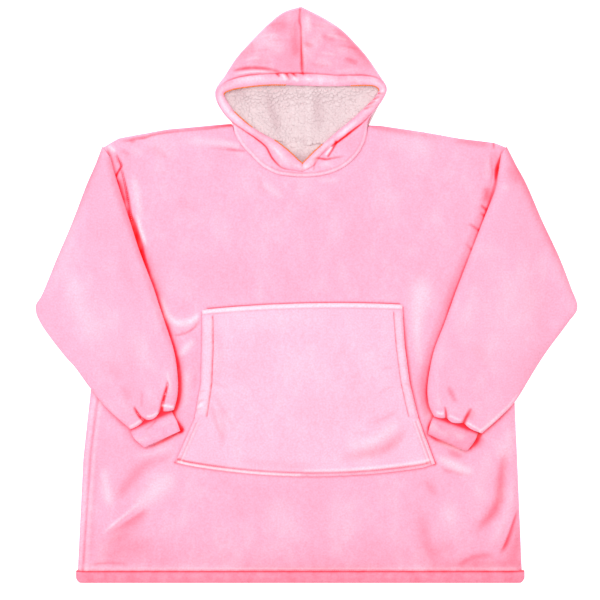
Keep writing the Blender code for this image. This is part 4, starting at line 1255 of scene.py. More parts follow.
CROWN_CREASES_L = (
    CROWN_SEAM,
    Crease(((0, 566, 4, 0.5), (3, 545, 6, 1), (6, 515, 5, 0.5)), 1.4, pale=0.38),
    Crease(((-6, 505, 4, 0.5), (4, 497, 5, 1), (16, 494, 4, 0.5)), -1.4, 0.4),
    Crease(((25, 520, 5, 0.4), (42, 512, 7, 0.9), (62, 504, 5, 0.5)), -1.0, 0.24),
    Crease(((72, 470, 4, 0.4), (88, 466, 6, 1), (106, 458, 5, 0.6)), -1.4, 0.34),
    Crease(((40, 536, 7, 0.6), (75, 515, 9, 1), (105, 484, 9, 1), (135, 450, 7, 0.6)), deep=0.26),
    Crease(((15, 470, 8, 0.5), (32, 462, 10, 1), (55, 458, 8, 0.5)), 1.2, pale=0.2),
    Crease(((45, 488, 6, 0.4), (70, 486, 8, 0.9), (95, 480, 6, 0.4)), 0.8, pale=0.12),
    Crease(((12, 530, 5, 0.4), (30, 540, 7, 0.8), (45, 540, 5, 0.4)), pale=0.12),
    Crease(((55, 443, 4, 0.5), (85, 446, 5, 0.9), (120, 446, 4, 0.5)), 0.8, pale=0.17),
    Crease(((4, 541, 2.4, 0.5), (26, 537, 3, 1), (48, 534, 2.4, 0.5)), -0.6, 0.16),
    Crease(((34, 520, 2.6, 0.5), (60, 514, 3.2, 1), (88, 505, 2.6, 0.5)), 0.6, pale=0.22),
    Crease(((56, 497, 2.4, 0.5), (82, 494, 3, 1), (108, 488, 2.4, 0.5)), -0.6, 0.18),
    Crease(((20, 482, 2.4, 0.5), (44, 479, 3, 1), (68, 475, 2.4, 0.5)), 0.6, pale=0.22),
    Crease(((2, 459, 2.4, 0.5), (26, 455, 3, 1), (52, 453, 2.4, 0.5)), -0.6, 0.16),
)
THROAT_CREASES = (
    Crease(((59, 304, 2.4, 1.3), (54, 293, 2.2, 1), (46, 280, 2.2, 0.9), (41, 273, 2.2, 0.7)), -3.0, 1.0,
        soft=(0, 0.1)),
    Crease(((8, 264, 1.8, 0.3), (14, 268.5, 2, 0.6), (21, 272, 2.2, 0.8), (30, 271, 2.4, 1),
        (40, 269.5, 2.4, 1), (55, 272, 2.2, 0.7), (80, 276, 2, 0.3)), -2.4, 0.85, soft=(0.1, 0.2)),
    Crease(((21, 271, 1.8, 0.9), (16, 260, 1.8, 0.8), (14, 246, 1.8, 0.8)), -2.0, 0.5, soft=(0, 0.1)),
    Crease(((48, 298, 2, 0.5), (38, 289, 2, 0.8), (27, 277, 2, 0.6)), -1.4, 0.5),
    Crease(((50, 296, 2.6, 0.8), (45, 287, 3, 1), (38, 277, 2.6, 0.8)), 1.4, pale=1.0, soft=(0.1, 0.1)),
    Crease(((-8.5, 262, 1.6, 0.8), (-8.5, 252, 1.6, 0.8), (-9, 242, 1.6, 0.8)), -1.4, 0.36, soft=(0, 0.1)),
    Crease(((24, 262, 5, 0.5), (34, 258, 6, 0.9), (52, 262, 5, 0.5)), 1.0, pale=0.3),
    Crease(((-5, 250, 4, 0.6), (2, 254, 5, 1), (8, 250, 4, 0.6)), 1.0, pale=0.4),
)
BRIM_CREASES = (
    Crease(((-61, 442, 2.4, 1), (-57, 437, 2.4, 1), (-52, 431, 2, 0.7)), -2.8, 0.9, soft=(0, 0.3)),
    Crease(((-42, 442, 2.4, 0.9), (-37, 434, 2.4, 1), (-31, 424, 2, 0.7)), -3.0, 0.8, soft=(0, 0.3)),
    Crease(((-30, 443, 2.2, 1), (-25, 437, 2.2, 1), (-18, 431, 2, 0.6)), -2.8, 0.8, soft=(0, 0.3)),
    Crease(((-14, 443, 2.2, 0.9), (-8, 439, 2.2, 0.9), (-3, 435, 2, 0.6)), -2.0, 0.7, soft=(0, 0.3)),
    Crease(((-50, 440, 2.6, 0.6), (-45, 432, 3, 1), (-39, 424, 2.6, 0.6)), 1.6, pale=0.8),
    Crease(((-28, 434, 2.4, 0.6), (-22, 427, 2.8, 1), (-14, 422, 2.4, 0.6)), 1.4, pale=0.7),
    Crease(((-6, 433, 3, 0.6), (4, 427, 3.4, 1), (14, 424, 3, 0.6)), 1.2, pale=0.5),
    Crease(((143, 401, 1.8, 1), (148, 400, 2, 1), (154, 399, 1.8, 0.6)), -2.4, 0.75, soft=(0, 0.3)),
    Crease(((131, 389, 1.8, 1), (139, 391, 2, 1), (148, 396, 1.8, 0.6)), -2.4, 0.8, soft=(0, 0.3)),
    Crease(((123, 379, 1.8, 1), (131, 382, 2, 1), (141, 387, 1.8, 0.6)), -2.2, 0.7, soft=(0, 0.3)),
    Crease(((116, 370, 2, 0.9), (126, 373, 2.4, 1), (137, 378, 2, 0.6)), -2.2, 0.7, soft=(0, 0.3)),
    Crease(((145, 406, 2, 0.6), (152, 405, 2.6, 1), (158, 403, 2, 0.6)), 1.0, pale=0.35),
    Crease(((134, 385, 1.6, 0.6), (141, 387, 1.8, 1), (148, 391, 1.6, 0.6)), 1.0, pale=0.35),
    Crease(((-172, 405, 4, 0.6), (-172, 390, 5, 1), (-158, 366, 5, 0.8), (-135, 346, 4, 0.5)), 0.6,
        pale=0.35),
    Crease(((-150, 424, 3, 0.6), (-120, 429, 4, 1), (-80, 431, 3, 0.6)), 0.8, pale=0.4),
    Crease(((-80, 302, 2.4, 0.5), (-62, 288, 3.4, 1), (-42, 270, 2.4, 0.5)), 0.6, pale=0.3),
    Crease(((-70, 291, 1.4, 0.5), (-57, 280, 1.6, 0.9), (-42, 262, 1.4, 0.5)), -1.0, 0.35),
    Crease(((30, 427, 7, 0.5), (70, 427, 8, 0.9), (110, 428, 7, 0.5)), deep=0.13),
    Crease(((58, 312, 3, 0.5), (82, 330, 4, 1), (105, 350, 3, 0.5)), 0.6, pale=0.45),
    Crease(((-150, 372, 2, 0.6), (-146, 366, 2.2, 0.9), (-141, 361, 2, 0.6)), -1.0, 0.45),
    Crease(((-126, 352, 2, 0.5), (-118, 344, 2.2, 0.9), (-108, 337, 2, 0.5)), -0.8, 0.3),
    Crease(((100, 418, 2, 0.6), (97, 421, 2.2, 0.9), (90, 423, 2, 0.5)), -0.8, 0.3),
)
# Folds of the pocket and its bands, with their painted shade and painted highlights
POCKET_CREASES = (
    Crease(((206, -260, 6, 0.4), (182, -289, 10, 0.9), (151, -309, 11, 1), (105, -321, 10, 0.8),
        (55, -328, 7, 0.4)), -2.6, 0.35),
    Crease(((192, -240, 8, 0.5), (165, -271, 12, 1), (130, -292, 12, 0.9), (75, -305, 9, 0.5)), 1.8,
        pale=0.35),
    Crease(((-190, -212, 3, 0.5), (-182, -250, 4, 1), (-164, -296, 4, 0.6)), -1.4, 0.24),
    Crease(((-190, -190, 3, 0.5), (-168, -226, 4, 1), (-138, -278, 5, 0.5)), -1.2, 0.18),
    Crease(((-192, -170, 2.4, 0.5), (-176, -180, 3, 1), (-150, -186, 3, 0.5)), -0.8, 0.12),
    Crease(((174, -150, 2.4, 0.6), (162, -146, 3, 1), (146, -150, 3, 0.4)), -0.9, 0.16),
    Crease(((178, -182, 2.4, 0.6), (160, -188, 3, 1), (140, -200, 3, 0.4)), -0.9, 0.14),
    Crease(((186, -232, 3, 0.6), (160, -244, 5, 1), (126, -262, 5, 0.4)), -0.9, 0.14),
    Crease(((-178, -60, 7, 0.5), (-172, -130, 9, 0.9), (-180, -190, 7, 0.6)), -1.2, 0.13),
    Crease(((-180, -212, 5, 0.5), (-166, -268, 6, 1), (-172, -318, 5, 0.5)), -1.0, 0.16),
    Crease(((-150, -58, 18, 0.5), (-60, -48, 22, 0.9), (60, -48, 20, 0.6)), 1.2, pale=0.15),
    Crease(((-150, -330, 6, 0.4), (-60, -340, 9, 0.9), (30, -345, 7, 0.5)), -0.8, 0.12),
    Crease(((-259, -338, 1.6, 0.8), (-257, -329, 1.6, 0.9), (-250, -324, 1.4, 0.5)), -0.8, 0.5),
    Crease(((243, -338, 1.6, 0.8), (240, -331, 1.8, 1), (236, -325, 1.4, 0.5)), -0.8, 0.6),
)
BAND_CREASES = (
    Crease(((-216, -199, 2.2, 0.5), (-208, -193, 2.2, 1), (-200, -191, 2.2, 0.6)), -0.6, 0.3),
    Crease(((-220, -221, 2.4, 0.6), (-212, -213, 2.6, 1), (-202, -209, 2.4, 0.6)), -0.8, 0.4),
    Crease(((-224, -235, 2.4, 0.5), (-216, -228, 2.4, 1), (-206, -225, 2.4, 0.6)), -0.6, 0.34),
    Crease(((-219, -229, 2.6, 0.6), (-211, -221, 2.6, 1), (-203, -217, 2.4, 0.6)), 0.6, pale=0.55),
    Crease(((202, -150, 2.2, 0.5), (196, -143, 2.2, 1), (189, -140, 2.2, 0.6)), -0.6, 0.24),
    Crease(((207, -186, 2.2, 0.5), (201, -179, 2.2, 1), (194, -175, 2.2, 0.6)), -0.6, 0.2),
)
# Painted shade bands on the hood's lining, and at the V of the throat
LINING_CREASES = (
    Crease(((-84, 414, 7, 0.8), (-74, 380, 9, 1), (-60, 340, 8, 1), (-54, 312, 7, 0.7)), deep=0.6),
    Crease(((26, 412, 10, 0.8), (24, 370, 12, 1), (26, 325, 11, 0.9)), deep=0.55),
    Crease(((-150, 408, 16, 0.9), (-132, 400, 16, 0.9), (-120, 384, 10, 0.4)), deep=0.45),
    Crease(((-8, 268, 22, 1), (-8, 286, 20, 1), (-8, 316, 16, 0.3)), deep=0.6, soft=(0, 0.2)),
    Crease(((118, 408, 12, 0.8), (110, 396, 12, 0.6)), deep=0.3),
)

# Stretches of the brim, by station from the throat round to the throat, with showing thread
EDGE_THREAD = ((0, 4), (6, 8), (10, 15), (19, 22), (29, 32))


def column(table: tuple, place: int) -> Grid:
    """Returns one column of a table as an array."""
    return np.array([row[place] for row in table], dtype=float)


def offset_path(path: Grid, by: float) -> Grid:
    """Moves a path sideways, to its right, by a distance in millimetres.

    Args:
        path: Points of the path in plan.
        by: How far it moves.

    Returns:
        The moved path.
    """
    step = np.gradient(path, axis=0)
    step /= np.hypot(*step.T)[:, None]
    return path + by * np.stack([step[:, 1], -step[:, 0]], axis=1)


def crease_along(
    path: Grid, width: tuple, strength: tuple, height: float = 0.0, deep: float = 0.0, pale: float = 0.0
) -> Crease:
    """Returns a crease that follows a path.

    Args:
        path: Plan points of the path.
        width: Half widths, spread evenly from its start to its end.
        strength: Strengths, spread the same way.
        height: How far it stands up.
        deep: How far the cloth reddens.
        pale: How far the nap brightens.

    Returns:
        The crease, with ends that don't fade.
    """
    place = np.linspace(0.0, 1.0, len(path))
    spread = [np.interp(place, np.linspace(0.0, 1.0, len(given)), given) for given in (width, strength)]
    return Crease(np.column_stack([path, *spread]).tolist(), height, deep, pale, soft=(0.0, 0.0))


SIDE_SEAM = Seam(((-447, -552), (-434, -357), (-428, -291), (-416, -200)), pucker=0.9, pitch=24.0, deep=0.35)
HEM_SEAM = Seam(
    ((-461, -552), (-12, -552), (436, -552)),
    groove=1.6, width=2.0, roll_at=8.0, pucker=0.8, pitch=27.0, deep=0.8, pale=0.1,
)
NECK_RING = refine(np.array(NECKLINE, float), 3)
MOUTH = np.concatenate(
    [0.5 * (column(HOOD_R, 0) + column(HOOD_R, 3))[::-1], 0.5 * (column(HOOD_L, 0) + column(HOOD_L, 3))[1:]]
)


@dataclass
class BodyShape:
    """Plan and height of the body, which the other pieces lie on.

    Attributes:
        wall: Thickness of the plush with its lining.
        puff: How far the middle of the front stands up.
        puff_reach: How far in from the edge it does so.
        roll: How far the edges roll down.
        roll_reach: How wide the rolled edge is.
        sleeve_clear: How far beside a sleeve the front stays flat.
        sleeve_fade: Over what distance it rises from there.
        side_columns: Columns beside the pocket on each side.
        neck_pieces: Columns for each stretch of the neckline.
        yoke_rows: Rows between the pocket and the shoulders.
        hem_y: Place of the hem seam.
    """

    wall: float = 6.5
    puff: float = 3.4
    puff_reach: float = 60.0
    roll: float = 4.6
    roll_reach: float = 15.0
    sleeve_clear: float = 3.0
    sleeve_fade: float = 16.0
    side_columns: int = 74
    neck_pieces: int = 10
    yoke_rows: int = 116
    hem_y: float = -553.0

    @property
    def front_base(self) -> float:
        """Height of the front's underside where it touches the back."""
        return self.wall + GAP

    @property
    def top(self) -> float:
        """Height of the front where a sleeve lies on it."""
        return self.front_base + self.wall

    def edge_x(self, y: Grid, right: bool) -> Grid:
        """Returns the side edge of the body at places along it.

        Args:
            y: Where the points are along it.
            right: Whether it is the edge towards +X.

        Returns:
            The edge's X.
        """
        shoulder = SHOULDER_R[0] if right else SHOULDER_L[-1]
        edge = np.concatenate([column(LEVELS, 1 if right else 6), [shoulder]])
        return np.interp(y, edge[:, 1], edge[:, 0])

    def beyond(self, x: Grid, y: Grid) -> Grid:
        """Returns how far plan points lie outside the sides, below 0 on the body."""
        return np.maximum(self.edge_x(y, True) - x, x - self.edge_x(y, False))

    def support(self, x: Grid, y: Grid) -> Grid:
        """Returns the height that a sleeve lies at, falling to the floor beyond the side."""
        return (self.top + 0.7) * (1.0 - ease((self.beyond(x, y) - 6.0) / 76.0))

    @staticmethod
    def sleeve_outlines() -> list[Grid]:
        """Returns the plan outlines of both sleeves with their cuffs."""
        found = []
        for sleeve, cuff in ((SLEEVE_R, CUFF_R), (SLEEVE_L, CUFF_L)):
            outer = refine(column(sleeve, 0), 3).tolist() + [row[0] for row in cuff[2:]]
            inner = refine(column(sleeve, 1), 3).tolist() + [row[1] for row in cuff[2:]]
            found.append(np.array(outer + inner[::-1], float))
        return found

    def front_plan(self) -> tuple[Grid, list[int]]:
        """Returns the front's plan points in rows, and the row number of each level."""
        ring = refine(np.array(NECKLINE, float), self.neck_pieces)
        band = self.neck_pieces
        middle = len(ring) - 1 - 2 * band
        counts = (self.side_columns, band, middle, band, self.side_columns)
        rows: list[Grid] = []
        marks: list[int] = []
        for level in LEVELS:
            row = self.panel_row(level[1:7], counts)
            first = self.side_columns + band
            share = np.linspace(-1.0, 1.0, middle + 1)
            row[first : first + middle + 1, 1] += level[7] * (1.0 - share**2)
            rows.extend(blend(rows[-1], row, level[0]) if rows else [row])
            marks.append(len(rows) - 1)
        right = self.shoulder(SHOULDER_R, self.side_columns)[:-1]
        left = self.shoulder(SHOULDER_L, self.side_columns)[1:]
        rows.extend(blend(rows[-1], np.concatenate([right, ring, left]), self.yoke_rows))
        return np.array(rows), marks

    @staticmethod
    def panel_row(parts: tuple[Plan, ...], counts: tuple[int, ...]) -> Grid:
        """Returns a row of a panel from the end points of its parts, each cut evenly.

        Args:
            parts: End points of the parts.
            counts: How many cells each part has.

        Returns:
            The row.
        """
        row = [along(a, b, count)[:-1] for a, b, count in zip(parts[:-1], parts[1:], counts)]
        row = np.concatenate([*row, np.array([parts[-1]], float)])
        crowd = np.linspace(0.0, 1.0, counts[0] + 1) ** 1.3
        row[: counts[0] + 1] = row[0] + (row[counts[0]] - row[0]) * crowd[:, None]
        row[-counts[-1] - 1 :] = row[-1] + (row[-counts[-1] - 1] - row[-1]) * crowd[::-1, None]
        return row

    @staticmethod
    def shoulder(table: tuple[Plan, ...], count: int) -> Grid:
        """Returns points on a shoulder seam, evenly spaced across.

        Args:
            table: Rows of its edge points.
            count: How many points it has.

        Returns:
            The points.
        """
        points = np.array(table, float)
        crowd = np.linspace(0.0, 1.0, count + 1) ** 1.3
        if points[0, 0] > -200.0:
            crowd = 1.0 - crowd[::-1]
        across = points[0, 0] + (points[-1, 0] - points[0, 0]) * crowd
        return np.stack([across, np.interp(across, points[:, 0], points[:, 1])], axis=1)


@dataclass
class FrontPanel:
    """The front, with its folds, its seams and the shade beside what lies on it."""

    shape: BodyShape
    shop: Workshop
    relief: Relief = field(init=False)
    top: Grid = field(init=False)
    marks: list[int] = field(init=False)

    def __post_init__(self) -> None:
        """Gathers the folds and seams."""
        folds = SHOULDER_CREASES + SWOOP_CREASES + SKIRT_CREASES + SLEEVE_SHADE_R + SLEEVE_SHADE_L
        self.relief = Relief((*folds, SIDE_SEAM, HEM_SEAM), seed=21)

    def build(self) -> None:
        """Builds the front panel and settles it on the frame."""
        plan, self.marks = self.shape.front_plan()
        x, y = plan[..., 0], plan[..., 1]
        inward = np.minimum(-self.shape.beyond(x, y), (y - self.shape.hem_y) * 1.6)
        free = np.ones(x.shape)
        for outline in self.shape.sleeve_outlines():
            away = away_from(x, y, outline)
            free *= ease((away - self.shape.sleeve_clear) / self.shape.sleeve_fade)
        away, _, _ = near_path(x, y, NECK_RING)
        free *= ease((away + 3.0) / 22.0)
        away = away_from(x, y, self.pocket_outline(plan))
        flat = ease((away - 1.0) / 12.0)
        edge = np.clip(sum(line.deep * line.share(x, y) for line in self.pocket_lines(plan)), 0.0, 1.0)
        up, deep, pale = self.relief.on(x, y)
        lift = self.shape.puff * ease(inward / self.shape.puff_reach)
        roll = self.shape.roll * (1.0 - ease(-self.shape.beyond(x, y) / self.shape.roll_reach)) ** 1.5
        calm = ease(inward / 14.0) * 0.85 + 0.15
        height = self.shape.top + (lift + up * flat * calm) * free - roll
        self.top = with_height(plan, height)
        inner = self.top.copy()
        inner[..., 2] = np.maximum(height - self.shape.wall, self.shape.front_base)
        inner[..., 2] = np.minimum(inner[..., 2], height - 0.8)
        # Painted shade in the folds and beside the pocket's edges, painted highlights on the folds; the front
        # also grows darker towards the hem.
        deep = np.clip(deep * flat + edge + 0.12 * ease((-440.0 - y) / 113.0), 0.0, 2.0)
        wall = ClothWall("front", self.top, inner, deep=deep, pale=pale * flat)
        cut = (0.91, 0.9, Held.LAID)
        self.shop.settle(wall, self.shop.front, "front_panel", cut, ("back",), extras=self.sewn())

    def pocket_outline(self, plan: Grid) -> Grid:
        """Returns the outline of the pocket on the front, from the front's own points.

        Args:
            plan: The front's points in plan.

        Returns:
            The outline.
        """
        left, right = self.shape.side_columns, plan.shape[1] - 1 - self.shape.side_columns
        foot, head = self.marks[1], self.marks[-1]
        lines = (plan[foot, left:right], plan[foot:head, right])
        lines += (plan[head, right:left:-1], plan[head:foot:-1, left])
        return np.concatenate(lines)[::3]

    def pocket_lines(self, plan: Grid) -> tuple[Crease, ...]:
        """Returns the red lines of painted shade where the pocket's edges lie on the front.

        Args:
            plan: The front's points in plan.

        Returns:
            The lines.
        """
        left, right = self.shape.side_columns, plan.shape[1] - 1 - self.shape.side_columns
        foot, opening, head = self.marks[1], self.marks[2], self.marks[-1]
        top_shade, end_shade = (1.1, 0.85, 0.95, 1.1), (0.7, 0.95, 1.1, 0.7)
        return (
            crease_along(plan[head, left + 5 : right - 2 : 4], (2.4, 2.2, 2.4), top_shade, deep=1.0),
            crease_along(plan[opening : head + 1 : 3, left], (1.8, 2.2, 1.8), (0.35, 0.3, 0.4), deep=1.0),
            crease_along(plan[opening : head + 1 : 3, right], (3.0, 4.2, 4.2, 2.5), end_shade, deep=1.0),
            crease_along(plan[foot : opening + 1 : 4, left], (2.0, 2.0), (0.35, 0.3, 0.3), deep=1.0),
            crease_along(plan[foot : opening + 1 : 4, right], (2.4, 2.4), (0.95, 0.9, 0.8), deep=1.0),
            crease_along(plan[foot, left : right + 1 : 4], (3.0, 2.6, 3.0), (0.6, 0.4, 0.45, 0.65), deep=1.0),
        )

    def at(self, path: Grid, above: float) -> Grid:
        """Returns solid points of a plan path that lies a little above the front.

        Args:
            path: Points of the path in plan.
            above: How far above the cloth it lies.

        Returns:
            The points.
        """
        found = []
        flat = self.top.reshape(-1, 3)
        for x, y in path:
            away = (flat[:, 0] - x) ** 2 + (flat[:, 1] - y) ** 2
            nearest = np.argpartition(away, 4)[:4]
            weight = 1.0 / (away[nearest] + 0.5)
            found.append((x, y, float((flat[nearest, 2] * weight).sum() / weight.sum()) + above))
        return np.array(found)

    def sewn(self) -> list[bpy.types.Object]:
        """Returns the rows of stitches on the front."""
        seams = [self.at(crease.path()[:, :2], 0.05) for crease in (SHOULDER_SEAM_R, ARMHOLE_R, ARMHOLE_L)]
        hem = np.stack([np.linspace(-455.0, 428.0, 90), np.full(90, -551.4)], axis=1)
        paths = [self.at(SIDE_SEAM.curve(), 0.1), *seams, self.at(hem, 0.1)]
        return [self.shop.stitching.sew("front_stitches", paths)]


@dataclass
class Pocket:
    """The pouch pocket, which is made from the front's points, and its two opening bands.

    Attributes:
        front: The panel that it lies on.
        shop: The shared finishes.
        wall: Thickness of its cloth.
        lift: How far its middle stands off the front.
        band_wall: Thickness of the opening bands.
        hem_skip: Rows of the top hem above the bands.
        face: Its outer face, once built.
    """

    front: FrontPanel
    shop: Workshop
    wall: float = 4.0
    lift: float = 3.0
    band_wall: float = 2.2
    hem_skip: int = 7
    face: Grid = field(init=False)

    def build(self) -> None:
        """Builds the pocket and its bands."""
        top, marks = self.front.top, self.front.marks
        left, right = self.front.shape.side_columns, top.shape[1] - self.front.shape.side_columns
        foot, opening, head = marks[1], marks[2], marks[-1]
        base = refine(top[foot : head + 1, left:right], 2)
        x, y = base[..., 0], base[..., 1]
        rows, columns = x.shape
        across = np.linspace(0.0, 1.0, columns)[None, :] * np.ones((rows, 1))
        up = np.linspace(0.0, 1.0, rows)[:, None] * np.ones((1, columns))
        in_side = np.minimum(x - x[:, :1], x[:, -1:] - x)
        in_foot, in_head = y - y[:1], y[-1:] - y
        inward = np.minimum(in_side, np.minimum(in_foot, in_head))
        height, deep, pale = self.pocket_relief(base).on(x, y)
        swell = self.lift * np.sin(math.pi * across) ** 0.6 * np.sin(math.pi * up) ** 0.5
        hem = np.exp(-(((in_head - 4.6) / 4.6) ** 4))
        body = np.maximum(swell + height * ease(inward / 7.0), -0.2)
        base[..., 2] += GAP
        face = base.copy()
        face[..., 2] += body + self.wall * (0.3 + 0.7 * ease(inward / 5.5)) + 1.4 * hem
        base[..., 2] += np.maximum(body - 0.4, 0.0) * ease(inward / 12.0)
        # Painted shade along the pocket's rim, kept off the raised top hem, which gets a painted highlight
        # below.
        deep = deep * (1.0 - hem) + 0.25 * bell(inward, 1.4)
        self.face = face
        deep, pale = np.clip(deep, 0, 1), np.clip(pale + 0.75 * hem, 0, 1)
        wall = ClothWall("pouch", face, base, deep=deep, pale=pale)
        sewn = self.shop.stitching.sew("pouch_stitches", self.stitch_paths())
        cut = (0.53, 0.35, Held.LAID)
        self.shop.settle(wall, self.shop.pocket, "pocket", cut, ("front",), extras=(sewn,))
        band = self.front.shape.neck_pieces
        strip = face[2 * (opening - foot) : rows - self.hem_skip]
        self._band("pouch_band_right", "pocket_band_right", strip[:, : band + 1], Side.RIGHT)
        self._band("pouch_band_left", "pocket_band_left", strip[:, -band - 1 :], Side.LEFT)

    def pocket_relief(self, base: Grid) -> Relief:
        """Returns the folds and seams of the pocket, with painted shade and painted highlights, which follow
        its own edges.

        Args:
            base: The hidden face's points.

        Returns:
            The relief.
        """
        plan = base[..., :2]
        middle = plan.shape[1] // 2
        low = 2 * (self.front.marks[2] - self.front.marks[1])
        foot, head = plan[0, 3:-3:4], plan[-1, 5:-2:4]
        foot_right, foot_left = plan[0, 3:middle:4], plan[0, middle:-3:4]
        slant_right, slant_left = plan[2 : low + 1 : 5, 0], plan[2 : low + 1 : 5, -1]
        up = np.array([0.0, 1.0])
        folds = (
            crease_along(foot + 7.5 * up, (2.4, 2.2, 2.4), (0.95, 0.62, 0.65, 0.9), -2.0, 1.0),
            crease_along(foot_right + 2.8 * up, (2.4, 2.6), (0.9, 1.0, 0.8), 0.8, pale=1.0),
            crease_along(foot_left + 12.6 * up, (3.0, 3.4), (0.5, 1.0, 0.9), 0.8, pale=0.7),
            crease_along(head - 10.0 * up, (1.6, 1.6), (0.35, 0.25, 0.25, 0.4), -0.9, 1.0),
            crease_along(offset_path(slant_right, 7.0), (1.8, 1.8), (0.4, 0.35, 0.3), -0.9, 1.0),
            crease_along(offset_path(slant_right, 13.0), (1.8, 1.8), (0.2, 0.2, 0.15), -0.4, 1.0),
            crease_along(offset_path(slant_right, 10.0), (2.2, 2.2), (0.7, 1.0, 0.8), 0.5, pale=0.38),
            crease_along(offset_path(slant_left, -8.0), (2.0, 2.0), (0.55, 0.5, 0.4), -1.2, 1.0),
            crease_along(offset_path(slant_left, -14.0), (1.8, 1.8), (0.2, 0.2, 0.15), -0.4, 1.0),
            crease_along(offset_path(slant_left, -4.0), (2.2, 2.4), (1.0, 1.0, 0.8), 0.6, pale=0.65),
            crease_along(offset_path(slant_left, -11.2), (2.0, 2.0), (0.8, 1.0, 0.6), 0.5, pale=0.5),
            *POCKET_CREASES,
        )
        return Relief(folds, soft=0.7, fine=0.3, seed=41)

    def stitch_paths(self) -> list[Grid]:
        """Returns the paths of the pocket's stitches, from its own points."""
        face = self.face
        up = np.array([0.0, 0.0, -0.05])
        low = 2 * (self.front.marks[2] - self.front.marks[1])
        paths = [self._between(face[:, 2:-2], 7.5, True) + up]
        paths.append(self._between(face[:, 2:-2], 10.0, False) + up)
        for edge, inner in ((0, 1), (-1, -2)):
            step = face[: low + 1, inner] - face[: low + 1, edge]
            step /= np.abs(step[:, :1])
            paths.append(face[: low + 1, edge] + step * 8.5 + up)
        return paths

    @staticmethod
    def _between(face: Grid, inset: float, from_foot: bool) -> Grid:
        """Returns a line of the face at a distance up from its foot, or down from its head.

        Args:
            face: Rows of points of the face.
            inset: The distance.
            from_foot: Whether it is measured from the foot.

        Returns:
            The line.
        """
        rows = face if from_foot else face[::-1]
        found = []
        for number in range(face.shape[1]):
            line = rows[:, number]
            away = np.abs(line[:, 1] - line[0, 1])
            found.append([np.interp(inset, away, line[:, axis]) for axis in range(3)])
        return np.array(found)

    def _band(self, name: str, node: str, strip: Grid, side: Side) -> None:
        """Builds one opening band on the pocket's edge.

        Args:
            name: What it is called.
            node: Node it replaces.
            strip: Points of the strip it covers.
            side: The wearer's side.
        """
        rows, columns = strip.shape[:2]
        across = np.linspace(0.0, 1.0, columns)[None, :] * np.ones((rows, 1))
        if side is Side.LEFT:
            across = 1.0 - across
        steps = np.minimum(np.arange(rows), np.arange(rows)[::-1])[:, None] * 1.5
        ends = ease(steps / 16.0)
        crown = np.clip(np.sin(math.pi * np.clip(across * 0.94 + 0.03, 0, 1)), 0.0, 1.0) ** 0.5
        under = strip.copy()
        under[..., 2] += 0.25
        over = under.copy()
        x, y = strip[..., 0], strip[..., 1]
        over[..., 2] += 0.25 + self.band_wall * crown * ends + 0.3 * lumps(x, y, 18.0, 3) * ends
        line = 1.1 if side is Side.RIGHT else 0.95
        pucker = 0.75 + 0.4 * lumps(x * 0.0, y, 11.0, 5)
        # Painted shade along the band's inner edge, broken by its puckers, and a little along its outer edge.
        deep = line * bell(1.0 - across, 0.13) * ease(steps / 5.0) * pucker
        deep = deep + 0.12 * bell(across, 0.1) * ends
        height, folded, highlight_and_mottle = Relief(BAND_CREASES, soft=0.0, fine=0.0, seed=43).on(x, y)
        over[..., 2] += np.maximum(height, -0.8) * ends * crown
        # Painted shade in the band's folds; painted highlight on its crown and folds.
        deep, highlight_and_mottle = np.clip(deep + folded * ends, 0, 1), np.clip(0.22 * crown + highlight_and_mottle, 0, 1) * ends
        wall = ClothWall(name, over, under, deep=deep, pale=highlight_and_mottle)
        self.shop.settle(wall, self.shop.pocket, node, (0.03, 0.23, Held.LAID), ("pouch",))


